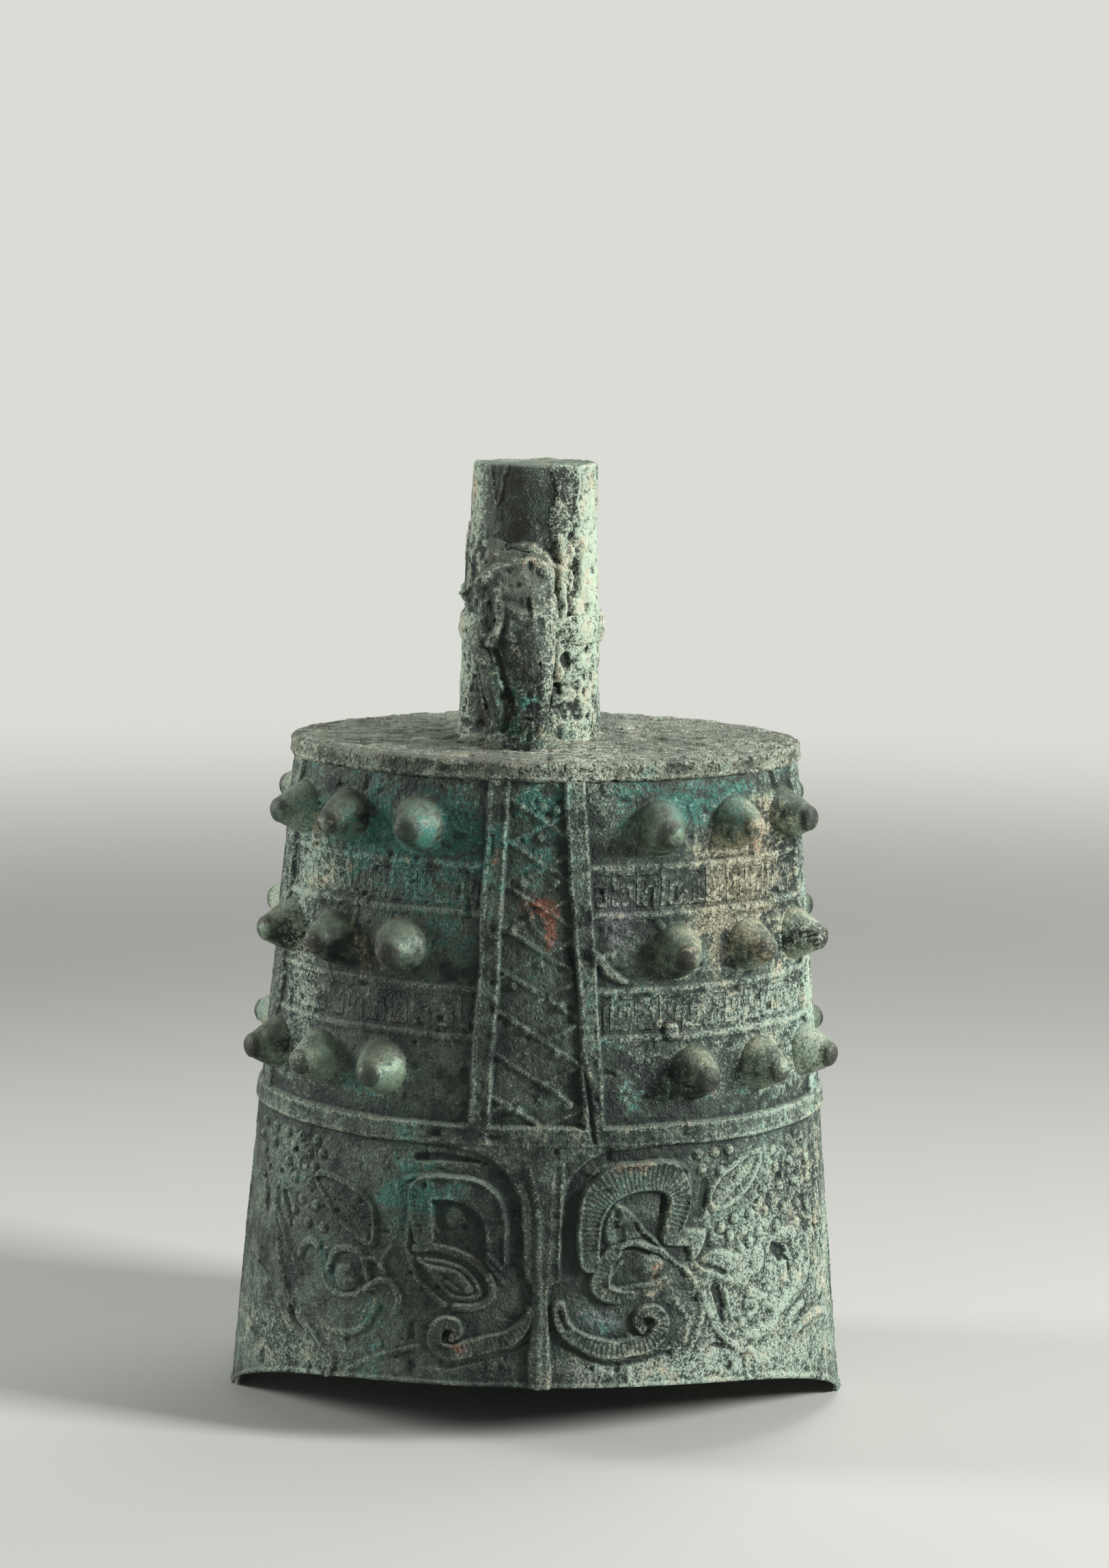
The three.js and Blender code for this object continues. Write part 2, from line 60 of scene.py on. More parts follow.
def tone(code: str) -> Tone:
    """A colour written as six hexadecimal digits, as linear light."""
    parts = (int(code[i:i + 2], 16) / 255 for i in (0, 2, 4))
    light = [p / 12.92 if p <= 0.04045 else ((p + 0.055) / 1.055) ** 2.4 for p in parts]
    return light[0], light[1], light[2], 1.0


def lerp(start: Array | float, end: Array | float, share: Array | float) -> Array | float:
    """The value at a share of the way from start to end."""
    return start + (end - start) * share


def ease(value: Array, low: float, high: float) -> Array:
    """A soft step from 0 at low to 1 at high; low may be the greater of the two."""
    share = np.clip((value - low) / (high - low), 0, 1)
    return share * share * (3 - 2 * share)


def mound(distance: Array, reach: float) -> Array:
    """1 at no distance, falling away on both sides like a bell curve of that reach."""
    return np.exp(-(distance / reach) ** 2)


def fillet(distance: Array, reach: float) -> Array:
    """1 up to no distance, then falling away over the reach."""
    return np.exp(-np.maximum(distance, 0) / reach)


class Grain:
    """Smooth noise in three dimensions, the same on every run."""

    SIZE = 4096

    def __init__(self, seed: int) -> None:
        """Fills the noise's table from a seed."""
        source = np.random.default_rng(seed)
        self.table = source.random(self.SIZE)
        self.order = source.permutation(self.SIZE)

    def at(self, points: Array, pitch: float) -> Array:
        """Noise from 0 to 1.

        Args:
            points: Places in millimetres.
            pitch: Distance between the noise's own knots.

        Returns:
            One value for each place.
        """
        cell = points / pitch
        base = np.floor(cell).astype(np.int64)
        part = cell - base
        part = part * part * (3 - 2 * part)
        total = np.zeros(points.shape[:-1])
        for corner in np.ndindex(2, 2, 2):
            key = np.zeros(total.shape, dtype=np.int64)
            weight = np.ones(total.shape)
            for axis, step in enumerate(corner):
                key = self.order[(key + base[..., axis] + step) % self.SIZE]
                weight = weight * (part[..., axis] if step else 1 - part[..., axis])
            total += self.table[key] * weight
        return total

    def layered(self, points: Array, pitch: float, octaves: int, fall: float, drift: float,
                crested: bool = False) -> Array:
        """The mean of several layers of noise, each half as coarse as the last.

        Args:
            points: Places in millimetres.
            pitch: Knot distance of the coarsest layer.
            octaves: How many layers.
            fall: Strength of each layer against the one before.
            drift: How far each layer is moved, so that their knots don't meet.
            crested: Whether each layer is folded where it crosses its middle.

        Returns:
            One value for each place, from -1 to 1, or from 0 to 1 where the layers are folded.
        """
        total, weight, whole = np.zeros(points.shape[:-1]), 1.0, 0.0
        for k in range(octaves):
            value = 2 * self.at(points + drift * k, pitch / 2 ** k) - 1
            total += weight * (1 - np.abs(value) if crested else value)
            whole += weight
            weight *= fall
        return total / whole

    def rough(self, points: Array, pitch: float, octaves: int = 3, fall: float = 0.5) -> Array:
        """Layered noise from about -1 to 1."""
        return self.layered(points, pitch, octaves, fall, 17.3) * 1.5

    def crests(self, points: Array, pitch: float, octaves: int) -> Array:
        """Layered noise from 0 to 1 with sharp crests, as crust and torn metal have."""
        return self.layered(points, pitch, octaves, 0.55, -9.1, crested=True)

    def pocks(self, points: Array, pitch: float, low: float, high: float) -> Array:
        """Scattered patches from 0 to 1, where the noise rises from low to high."""
        return ease(self.at(points, pitch), low, high)


# Meshes


@dataclass
class Skin:
    """One surface made of rows of points, in millimetres, with values carried at its points.

    Attributes:
        grid: Points as rows by columns by three.
        values: Named values, rows by columns, that finishes read.
        ringed: Whether the last row joins the first; otherwise both ends are closed with a fan.
    """

    grid: Array
    values: dict[str, Array] = field(default_factory=dict)
    ringed: bool = False

    def normals(self) -> Array:
        """Directions that point out of the surface.

        Returns:
            One unit vector for each point.
        """
        around = np.roll(self.grid, -1, axis=1) - np.roll(self.grid, 1, axis=1)
        if self.ringed:
            along = np.roll(self.grid, -1, axis=0) - np.roll(self.grid, 1, axis=0)
        else:
            along = np.gradient(self.grid, axis=0)
        facing = np.cross(around, along)
        facing = facing / np.maximum(np.linalg.norm(facing, axis=2, keepdims=True), 1e-9)
        return facing * (1 if self.volume() > 0 else -1)

    def volume(self) -> float:
        """Volume inside the surface.

        Returns:
            Cubic millimetres, negative where its rows run the other way.
        """
        a = self.grid
        b = np.roll(a, -1, axis=1)
        c = np.roll(b, -1, axis=0)
        d = np.roll(a, -1, axis=0)
        pieces = np.sum(a * np.cross(b, c) + a * np.cross(c, d), axis=2)
        return float(np.sum(pieces if self.ringed else pieces[:-1]) / 6)

    def push(self, height: Array) -> None:
        """Moves every point out along the surface's direction."""
        self.grid = self.grid + self.normals() * height[..., None]

    def weather(self, height: Array, reach: int) -> None:
        """Gives the surface its relief, and the values that finishes read.

        Args:
            height: How far every point moves out.
            reach: How far round each point the relief is compared.
        """
        self.values = {**worn(height, reach), **stains(self.grid)}
        self.push(height)

    def faces(self) -> tuple[Array, Array, Array]:
        """The surface's corners.

        Returns:
            Points, four-cornered faces and three-cornered faces.
        """
        rows, columns = self.grid.shape[:2]
        index = np.arange(rows * columns).reshape(rows, columns)
        low = index if self.ringed else index[:-1]
        high = np.roll(index, -1, axis=0) if self.ringed else index[1:]
        quads = np.stack([low, np.roll(low, -1, 1), np.roll(high, -1, 1), high], axis=2).reshape(-1, 4)
        points = self.grid.reshape(-1, 3)
        if self.ringed:
            return points, quads, np.zeros((0, 3), dtype=int)
        ends = [self.grid[0].mean(axis=0), self.grid[-1].mean(axis=0)]
        lower = np.stack([np.roll(index[0], -1), index[0], np.full(columns, len(points))], axis=1)
        upper = np.stack([index[-1], np.roll(index[-1], -1), np.full(columns, len(points) + 1)], axis=1)
        return np.vstack([points, ends]), quads, np.vstack([lower, upper])

    def hang(self, name: str) -> bpy.types.Object:
        """Makes the surface a Blender object.

        Args:
            name: The piece's name.

        Returns:
            The new object, at the origin, with smooth faces.
        """
        points, quads, fans = self.faces()
        if self.volume() < 0:
            quads, fans = quads[:, ::-1], fans[:, ::-1]
        mesh = bpy.data.meshes.new(name)
        mesh.vertices.add(len(points))
        mesh.vertices.foreach_set("co", (points * MM).astype(np.float32).ravel())
        corners = np.concatenate([quads.ravel(), fans.ravel()]).astype(np.int32)
        starts = np.concatenate([np.arange(len(quads)) * 4, len(quads) * 4 + np.arange(len(fans)) * 3])
        mesh.loops.add(len(corners))
        mesh.loops.foreach_set("vertex_index", corners)
        mesh.polygons.add(len(starts))
        mesh.polygons.foreach_set("loop_start", starts.astype(np.int32))
        mesh.polygons.foreach_set("use_smooth", np.ones(len(starts), dtype=bool))
        for label, value in self.values.items():
            flat = np.zeros(len(points), dtype=np.float32)
            flat[:value.size] = value.ravel()
            mesh.attributes.new(label, "FLOAT", "POINT").data.foreach_set("value", flat)
        mesh.update(calc_edges=True)
        mesh.validate()
        piece = bpy.data.objects.new(name, mesh)
        bpy.context.scene.collection.objects.link(piece)
        return piece

    def place(self, name: str, finish: "Finish", node: str, slot: str) -> None:
        """Makes the surface a dressed piece that stands for its solid.

        Args:
            name: The piece's name.
            finish: What it is dressed in.
            node: The CAD node that it stands for.
            slot: Name of a material slot; not used.
        """
        piece = self.hang(name)
        finish.dress(piece)
        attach(piece, BODY)
        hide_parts(node)
        log.info("%s: %d points", name, len(piece.data.vertices))


def blurred(height: Array, reach: int) -> Array:
    """A surface's height averaged over its neighbours.

    Args:
        height: Heights as rows by columns; the columns run all the way round.
        reach: How many points each way are averaged.

    Returns:
        The averaged heights.
    """
    size = 2 * reach + 1
    wide = np.pad(height, ((reach, reach), (0, 0)), mode="edge")
    run = np.cumsum(np.vstack([np.zeros((1, wide.shape[1])), wide]), axis=0)
    wide = np.pad((run[size:] - run[:-size]) / size, ((0, 0), (reach, reach)), mode="wrap")
    run = np.cumsum(np.hstack([np.zeros((wide.shape[0], 1)), wide]), axis=1)
    return (run[:, size:] - run[:, :-size]) / size


def worn(height: Array, reach: int) -> dict[str, Array]:
    """Which parts of a surface stand out and which lie low; the hollow value darkens recesses as patina, and
    over its wider reach as painted shade.

    Args:
        height: Heights in millimetres, rows by columns.
        reach: How far round each point the surface is compared.

    Returns:
        The values "raised" and "hollow", from 0 to 1.
    """
    proud = height - blurred(height, reach)
    # Comparing over the wider reach darkens broad recesses as painted shade.
    wide = height - blurred(height, 3 * reach)
    return {"raised": np.clip(proud / 0.7, 0, 1), "hollow": np.clip(-np.minimum(proud, 0.6 * wide) / 0.8, 0, 1)}


# Stains


class Stain(Enum):
    """What lies on the bronze in places, painted shade and painted highlight among them; the values are the
    names that the meshes carry.
    """

    SKIN = "skin"
    EARTH = "earth"
    RUST = "rust"
    AZURE = "azure"
    TIN = "tin"
    TEAL = "teal"
    CHALK = "chalk"


# Place across, height, half width, half height and strength of each patch on the front
STAINS: dict[Stain, Sequence[tuple[float, float, float, float, float]]] = {
    # skin_and_shade: dark skin on the shank and loop; the wide patches over the wall's left half are painted
    # shade.
    Stain.SKIN: (
        (-15, 382, 12, 15, 1), (-16, 368, 9, 8, 0.8), (4, 388, 4, 8, 0.6), (-10, 320, 7, 14, 0.8),
        (-25, 295, 5, 13, 1), (-16, 298, 4, 8, 0.8), (-14, 344, 9, 8, 0.6), (-14, 62, 40, 30, 0.5),
        (-50, 72, 42, 34, 0.6), (-60, 200, 30, 26, 0.5), (-50, 165, 40, 14, 0.5), (-4, 185, 14, 55, 0.45),
        (36, 90, 22, 26, 0.35)),
    Stain.EARTH: (
        (78, 228, 22, 34, 1), (64, 216, 12, 14, 0.8), (88, 255, 14, 14, 0.8), (114, 104, 10, 30, 0.5),
        (120, 60, 8, 30, 0.45), (-88, 232, 10, 26, 0.6), (-72, 200, 10, 20, 0.45), (100, 180, 16, 26, 0.5),
        (28, 196, 10, 5, 0.2), (16, 150, 6, 30, 0.45), (-6, 130, 20, 6, 0.4), (48, 70, 20, 10, 0.35),
        (12, 345, 14, 24, 0.8), (8, 375, 12, 12, 0.5), (-22, 330, 8, 30, 0.4), (20, 310, 10, 20, 0.5),
        (40, 118, 14, 4, 0.5), (-70, 62, 14, 16, 0.35), (6, 290, 40, 6, 0.5)),
    Stain.RUST: (
        (-2, 222, 8, 6, 1), (2, 213, 4, 9, 0.9), (-20, 242, 4, 9, 0.7), (33, 119, 10, 3, 0.8),
        (-35, 45, 4, 3, 0.7), (84, 244, 4, 4, 0.6), (47, 77, 5, 4, 0.7), (70, 146, 5, 4, 0.5),
        (24, 182, 4, 10, 0.45), (104, 70, 6, 8, 0.4), (4, 322, 6, 5, 0.5), (-10, 355, 6, 4, 0.4)),
    Stain.AZURE: (
        (40, 152, 14, 16, 0.6), (25, 52, 6, 5, 0.7), (50, 62, 6, 5, 0.6), (78, 268, 8, 6, 0.9),
        (-7, 301, 7, 9, 0.75), (50, 266, 14, 7, 0.6), (62, 176, 16, 7, 0.5), (80, 206, 5, 6, 0.6),
        (-12, 139, 6, 4, 0.5), (36, 246, 10, 14, 0.35), (94, 264, 5, 6, 0.7), (-40, 180, 20, 8, 0.3),
        (6, 312, 8, 10, 0.5), (-60, 160, 16, 8, 0.3)),
    Stain.TIN: (
        (30, 218, 14, 18, 0.8), (24, 56, 14, 10, 0.8), (36, 156, 12, 12, 0.5), (70, 40, 24, 12, 0.6),
        (-36, 36, 30, 10, 0.35), (30, 34, 26, 6, 0.7), (-4, 160, 12, 16, 0.3)),
    Stain.TEAL: (
        (-60, 250, 45, 25, 0.9), (-50, 205, 40, 20, 0.5), (60, 262, 35, 10, 0.7), (40, 150, 24, 16, 0.8),
        (70, 150, 24, 16, 0.5), (-45, 105, 25, 15, 0.6), (0, 255, 14, 22, 0.7), (30, 52, 20, 8, 0.35),
        (110, 190, 12, 60, 0.5), (-8, 300, 10, 14, 0.6), (14, 305, 12, 20, 0.6), (-6, 376, 10, 14, 0.8)),
    # chalk: chalky crust, and painted highlight over the wall's right side and along the left edges of the wall
    # and shank.
    Stain.CHALK: (
        (-100, 200, 8, 60, 0.8), (-96, 232, 11, 18, 0.6), (122, 60, 12, 60, 0.7), (108, 105, 14, 20, 0.5),
        (80, 108, 12, 12, 0.6), (112, 190, 10, 70, 0.8), (-31, 384, 4.5, 26, 1), (-35, 300, 4, 22, 0.6),
        (8, 345, 12, 60, 0.5), (16, 345, 9, 70, 1), (96, 60, 34, 60, 0.7), (66, 34, 44, 12, 0.7),
        (100, 180, 16, 70, 0.5), (84, 168, 34, 24, 0.45), (-1, 320, 3, 26, 0.7), (-102, 30, 22, 16, 0.5)),
}


def stains(grid: Array) -> dict[str, Array]:
    """How strongly each stain lies on a surface.

    Args:
        grid: The surface's points in millimetres. The back's stains lie the other way round.

    Returns:
        One set of values for each stain, from 0 to 1.
    """
    x, y, z = grid[..., 0], grid[..., 1], grid[..., 2]
    back = ease(y, -12, 12)
    found = {}
    for stain, spots in STAINS.items():
        value = np.zeros(x.shape)
        for middle, height, wide, tall, strength in spots:
            for sign, share in ((1, 1 - back), (-1, back)):
                apart = ((sign * x - middle) / wide) ** 2 + ((z - height) / tall) ** 2
                value = np.maximum(value, strength * share * np.exp(-0.8 * apart))
        found[stain.value] = value
    return found


# Finishes


def operator(operation: str, reflected: bool = False) -> Callable[..., "Signal"]:
    """Makes an operator of Signal that adds one Math node.

    Args:
        operation: The node's operation.
        reflected: Whether the signal is the last value, as in 1 - mask.

    Returns:
        The operator.
    """
    def method(self: "Signal", *others: "Signal | float") -> "Signal":
        """Adds the node."""
        return self.sheet.maths(operation, *((*others, self) if reflected else (self, *others)))
    return method


@dataclass(frozen=True)
class Signal:
    """A value, colour or vector on its way between nodes; the operators are for values."""

    sheet: "NodeSheet"
    socket: bpy.types.NodeSocket

    __add__, __radd__ = operator("ADD"), operator("ADD", True)
    __sub__, __rsub__ = operator("SUBTRACT"), operator("SUBTRACT", True)
    __mul__, __rmul__ = operator("MULTIPLY"), operator("MULTIPLY", True)
    __abs__ = operator("ABSOLUTE")
    over = operator("MAXIMUM")
    under = operator("MINIMUM")

    def wave(self, pitch: float) -> "Signal":
        """A soft wave from 0 to 1 that repeats at the pitch."""
        return 0.5 + 0.5 * self.sheet.maths("SINE", self * (2 * math.pi / pitch))

    def folded(self, pitch: float) -> "Signal":
        """Distance to the nearest multiple of the pitch."""
        return self.sheet.maths("PINGPONG", self, pitch / 2)

    def step(self, low: float, high: float) -> "Signal":
        """A soft step from 0 at low to 1 at high; low may be the greater of the two."""
        ends = (high, low, 1.0, 0.0) if low > high else (low, high, 0.0, 1.0)
        inputs = {"Value": self} | dict(zip(("From Min", "From Max", "To Min", "To Max"), ends))
        return self.sheet.out("ShaderNodeMapRange", {"interpolation_type": "SMOOTHSTEP"}, inputs)


Feed = Signal | float | tuple[float, ...]


class NodeSheet:
    """The node tree of one material or of the world, and the ways to add to it."""

    def __init__(self, owner: bpy.types.Material | bpy.types.World) -> None:
        """Gives a material or world an empty tree."""
        owner.use_nodes = True
        self.tree = owner.node_tree
        self.tree.nodes.clear()

    def add(self, kind: str, settings: dict[str, object], inputs: dict[int | str, Feed]) -> bpy.types.Node:
        """Adds one node.

        Args:
            kind: Blender's name for the node's type.
            settings: The node's own properties, set before its sockets.
            inputs: Numbers, colours or signals for its sockets, by name or place.

        Returns:
            The node.
        """
        node = self.tree.nodes.new(kind)
        for key, setting in settings.items():
            setattr(node, key, setting)
        for key, value in inputs.items():
            if isinstance(value, Signal):
                self.tree.links.new(value.socket, node.inputs[key])
            else:
                node.inputs[key].default_value = value
        return node

    def out(self, kind: str, settings: dict[str, object], inputs: dict[int | str, Feed],
            socket: int | str = 0) -> Signal:
        """Adds one node and gives one of its outputs."""
        return Signal(self, self.add(kind, settings, inputs).outputs[socket])

    def maths(self, operation: str, *values: Signal | float) -> Signal:
        """One step of arithmetic on values."""
        return self.out("ShaderNodeMath", {"operation": operation}, dict(enumerate(values)))

    def blend(self, share: Signal | float, first: Feed, second: Feed) -> Signal:
        """A colour that goes from the first to the second as the share goes from 0 to 1."""
        settings = {"data_type": "RGBA", "clamp_factor": True}
        return self.out("ShaderNodeMix", settings, {0: share, 6: first, 7: second}, 2)

    def place(self) -> Signal:
        """The surface's own place, in metres."""
        return self.out("ShaderNodeTexCoord", {}, {}, "Object")

    def stretched(self, factors: tuple[float, float, float]) -> Signal:
        """The surface's place with each axis scaled."""
        return self.out("ShaderNodeVectorMath", {"operation": "MULTIPLY"}, {0: self.place(), 1: factors})

    def noise(self, pitch: float, detail: float = 3, rough: float = 0.55, where: Signal | None = None,
              bend: float = 0.0) -> Signal:
        """Cloudy noise round 0.5; its coarsest patches are as wide as the pitch, in millimetres."""
        return self.out("ShaderNodeTexNoise", {}, {
            "Vector": where or self.place(), "Scale": 1 / (pitch * MM), "Detail": detail, "Roughness": rough,
            "Distortion": bend})

    def cells(self, pitch: float, feature: str = "F1") -> Signal:
        """Distance to the nearest of many scattered points, in shares of the pitch."""
        inputs = {"Vector": self.place(), "Scale": 1 / (pitch * MM)}
        return self.out("ShaderNodeTexVoronoi", {"feature": feature}, inputs, "Distance")

    def carried(self, name: str) -> Signal:
        """A value that the mesh carries at its points, or 0 where it has none."""
        return self.out("ShaderNodeAttribute", {"attribute_name": name}, {}, "Fac")

    def bump(self, height: Signal, strength: float = 1.0) -> Signal:
        """The surface's direction with fine relief added, its height in millimetres."""
        return self.out("ShaderNodeBump", {}, {"Strength": strength, "Distance": MM, "Height": height})

    def seen(self) -> Signal:
        """Tells the rays that see from those that light.

        Returns:
            1 for rays from the camera or from gloss and glass, 0 for the others.
        """
        path = self.add("ShaderNodeLightPath", {}, {})
        camera, gloss, glass = (Signal(self, path.outputs[f"Is {kind} Ray"])
                                for kind in ("Camera", "Glossy", "Transmission"))
        return camera.over(gloss).over(glass)

    def close(self, shader: Signal, output: str = "ShaderNodeOutputMaterial") -> None:
        """Sends the last shader to the output."""
        self.add(output, {}, {"Surface": shader})


@dataclass(frozen=True)
class Patina:
    """Corroded bronze: a dark skin, green bloom, pale chalky bloom on what stands out, and the stains that lie
    on it, some of them painted shade and painted highlight.

    Attributes:
        name: The material's name.
        shadow: Colour in hollows and worn dark places.
        body: The commonest colour.
        bloom: The blue-green corrosion.
        chalk: The pale bloom on edges, raised work and upward faces, also the colour of the painted highlights.
        bloom_share: How much of the surface the bloom covers, 0 to 1.
        chalk_share: How much the chalky bloom covers, 0 to 1.
        salt: How pale the scattered grains are, 0 to 1.
        edge: How much sooner raised edges turn pale; on the loop and shank the extra paleness is partly a
            painted highlight.
        drip: How strongly colour runs down in streaks, 0 to 1.
        grit: Height of the fine grain in millimetres.
        pits: Depth of scattered pits in millimetres.
        metal: How metallic the bare places are.
    """

    name: str
    shadow: str = "1c2522"
    body: str = "5a665b"
    bloom: str = "2b6e64"
    chalk: str = "b1c4b1"
    bloom_share: float = 0.45
    chalk_share: float = 0.6
    salt: float = 0.5
    edge: float = 0.06
    drip: float = 0.0
    grit: float = 0.5
    pits: float = 0.4
    metal: float = 0.2

    EARTH = "8a8064"
    CREAM = "c8bfa5"
    RUST = "8a4f39"
    AZURE = "5aaa9b"
    TIN = "6b6870"
    # Dark skin colour, also laid over the wall's left half as painted shade.
    SKIN = "2b2a25"

    def make(self) -> bpy.types.Material:
        """Builds the finish as a material.

        Returns:
            The material, its stains placed by the values that the mesh carries.
        """
        material = bpy.data.materials.new(self.name)
        sheet = NodeSheet(material)
        shadow = tone(self.shadow)
        cloud = sheet.noise(42, 3, 0.6, bend=0.6)
        mottle = sheet.noise(10, 4, 0.66)
        speck = sheet.noise(2.6, 3, 0.66)
        grain = sheet.noise(1.0, 2, 0.6)
        runs = sheet.noise(9, 4, 0.6, where=sheet.stretched((1, 1, 0.12)))
        raised, hollow, earth, teal, dust_and_highlight, skin = (
            sheet.carried(name) for name in ("raised", "hollow", "earth", "teal", "chalk", "skin"))
        cuts, lines, ground = self.marks(sheet, speck)

        wet = mottle * 0.55 + cloud * 0.45 + (runs - 0.5) * (0.5 * self.drip)
        colour = sheet.blend(wet.step(0.38, 0.58), shadow, tone(self.body))
        green = mottle * 0.35 + cloud * 0.4 + speck * 0.25 + teal * 0.12
        bloom = green.step(0.60 - 0.12 * self.bloom_share, 0.66 - 0.10 * self.bloom_share)
        colour = sheet.blend(bloom * 0.85, colour, tone(self.bloom))
        colour = self.stained(sheet, colour, speck, mottle, grain)
        # Hollows turn towards the shadow colour: patina in recesses and, over the wider reach and inside the
        # bell, painted shade; the strips' ground darkens as pattern.
        colour = sheet.blend((hollow * (0.6 + speck * 0.9) + ground * 0.3).under(0.9), colour, shadow)
        pepper = (speck * 0.6 + grain * 0.4).step(0.49, 0.39)
        colour = sheet.blend(pepper * 1.3 * self.grit, colour, shadow)

        fine = grain * 0.5 + speck * 0.35 + mottle * 0.15
        # More pale grains on raised edges and in the chalk zones, both partly painted highlight; fewer on the
        # skin stain, partly painted shade.
        proud = raised * self.edge + lines * 0.05 - hollow * 0.10 + dust_and_highlight * 0.165 - skin * 0.08
        low = 0.60 - 0.05 * self.chalk_share
        salt = (fine + proud + (cloud - 0.5) * 0.15).step(low - 0.06, low + 0.10)
        salt = salt * (self.salt + dust_and_highlight * (0.9 - self.salt)).under(0.9)
        salt = (salt + self.upward(sheet) * 0.5 * self.chalk_share).under(0.95)
        pale = sheet.blend(mottle.step(0.50, 0.68) * 0.85, tone(self.chalk), tone(self.CREAM))
        colour = sheet.blend(cuts * 0.8, sheet.blend(salt, colour, pale), shadow)
        pit = sheet.cells(3.1).step(0.21, 0.08) * sheet.noise(14, 2, 0.5).step(0.48, 0.60)
        colour = sheet.blend(pit * (0.3 + self.pits), colour, shadow)

        height = (speck * 1.2 + grain * 0.6) * self.grit * 2 - pit * self.pits - cuts * 0.5 + lines * 1.0
        rough = 0.42 + 0.4 * self.grit + 0.25 * salt + 0.2 * (speck - 0.5) + 0.2 * earth
        metal = (1 - salt) * (1 - bloom) * self.metal
        sheet.close(sheet.out("ShaderNodeBsdfPrincipled", {}, {
            "Base Color": colour, "Roughness": rough.under(0.97), "Metallic": metal,
            "IOR": 1.45, "Specular IOR Level": 0.35, "Normal": sheet.bump(height + earth * mottle * 1.2)}))
        return material

    def upward(self, sheet: NodeSheet) -> Signal:
        """How far the surface faces up, where dusty, chalky crust gathers."""
        facing = sheet.out("ShaderNodeNewGeometry", {}, {}, "Normal")
        return sheet.out("ShaderNodeSeparateXYZ", {}, {"Vector": facing}, "Z").step(0.25, 0.95)

    def marks(self, sheet: NodeSheet, speck: Signal) -> tuple[Signal, Signal, Signal]:
        """Fine work: hatching along drawn bands, and the squared spirals of the ornament strips.

        Args:
            sheet: The node sheet to draw it on.
            speck: Fine noise that makes the lines waver.

        Returns:
            Where the hatching is cut, where the spirals' lines stand up, and the ground between those.
        """
        kept = sheet.noise(7, 2, 0.5).step(0.36, 0.52)
        waver = speck - 0.5
        hatch = (sheet.carried("phase") + waver).wave(1.9).step(0.60, 0.25) * sheet.carried("hatch")
        along = sheet.maths("WRAP", sheet.carried("strip_run") + waver * 0.8, 5.1, -5.1)
        up = sheet.carried("strip_up") + waver * 0.7
        flip = up.step(-0.05, 0.05) * 1.7
        turns = abs(along - flip).over(abs(up) * 0.68) + flip
        line = turns.folded(3.4).step(1.0, 0.5) * kept
        strip = sheet.carried("strip")
        return hatch * sheet.noise(9, 2, 0.5).step(0.30, 0.46), line * strip, (1 - line) * strip

    def stained(self, sheet: NodeSheet, colour: Signal, speck: Signal, mottle: Signal,
                grain: Signal) -> Signal:
        """Lays the stains where the mesh carries them.

        Args:
            sheet: The node sheet to draw on.
            colour: The colour so far.
            speck: Fine noise.
            mottle: Medium noise.
            grain: The finest noise.

        Returns:
            The stained colour.
        """
        broken = ((mottle - 0.5) * 2.2 + (speck - 0.5) * 2.0) * 0.8
        soil = sheet.blend(grain.step(0.38, 0.62), tone(self.EARTH), tone(self.CREAM))
        for stain, low, high, strength, paint in (
            (Stain.SKIN, 0.35, 0.75, 0.8, tone(self.SKIN)), (Stain.TIN, 0.40, 0.95, 0.6, tone(self.TIN)),
            (Stain.EARTH, 0.40, 0.95, 0.72, soil), (Stain.AZURE, 0.62, 1.0, 0.5, tone(self.AZURE)),
            (Stain.RUST, 0.45, 0.90, 0.7, tone(self.RUST)),
        ):
            patch = (sheet.carried(stain.value) + broken).step(low, high)
            colour = sheet.blend(patch * strength, colour, paint)
        return colour


@dataclass(frozen=True)
class BakedClay:
    """Low-fired clay with sandy grain and fine cracks, as a casting core has."""

    name: str = "baked_clay"
    light: str = "a98460"
    dark: str = "6e4c34"
    crack: str = "3d2a1e"

    def make(self) -> bpy.types.Material:
        """Builds the finish as a material.

        Returns:
            The material.
        """
        material = bpy.data.materials.new(self.name)
        sheet = NodeSheet(material)
        cloud = sheet.noise(16, 4, 0.6)
        sand = sheet.noise(0.8, 3, 0.7)
        crack = sheet.cells(11, "DISTANCE_TO_EDGE").step(0.05, 0.01)
        colour = sheet.blend(cloud.step(0.38, 0.62), tone(self.dark), tone(self.light))
        sheet.close(sheet.out("ShaderNodeBsdfPrincipled", {}, {
            "Base Color": sheet.blend(crack * 0.7, colour, tone(self.crack)),
            "Roughness": (0.85 + sand * 0.2).under(1.0), "Metallic": 0.0,
            "Normal": sheet.bump(sand * 0.5 - crack * 0.6, 0.8)}))
        return material


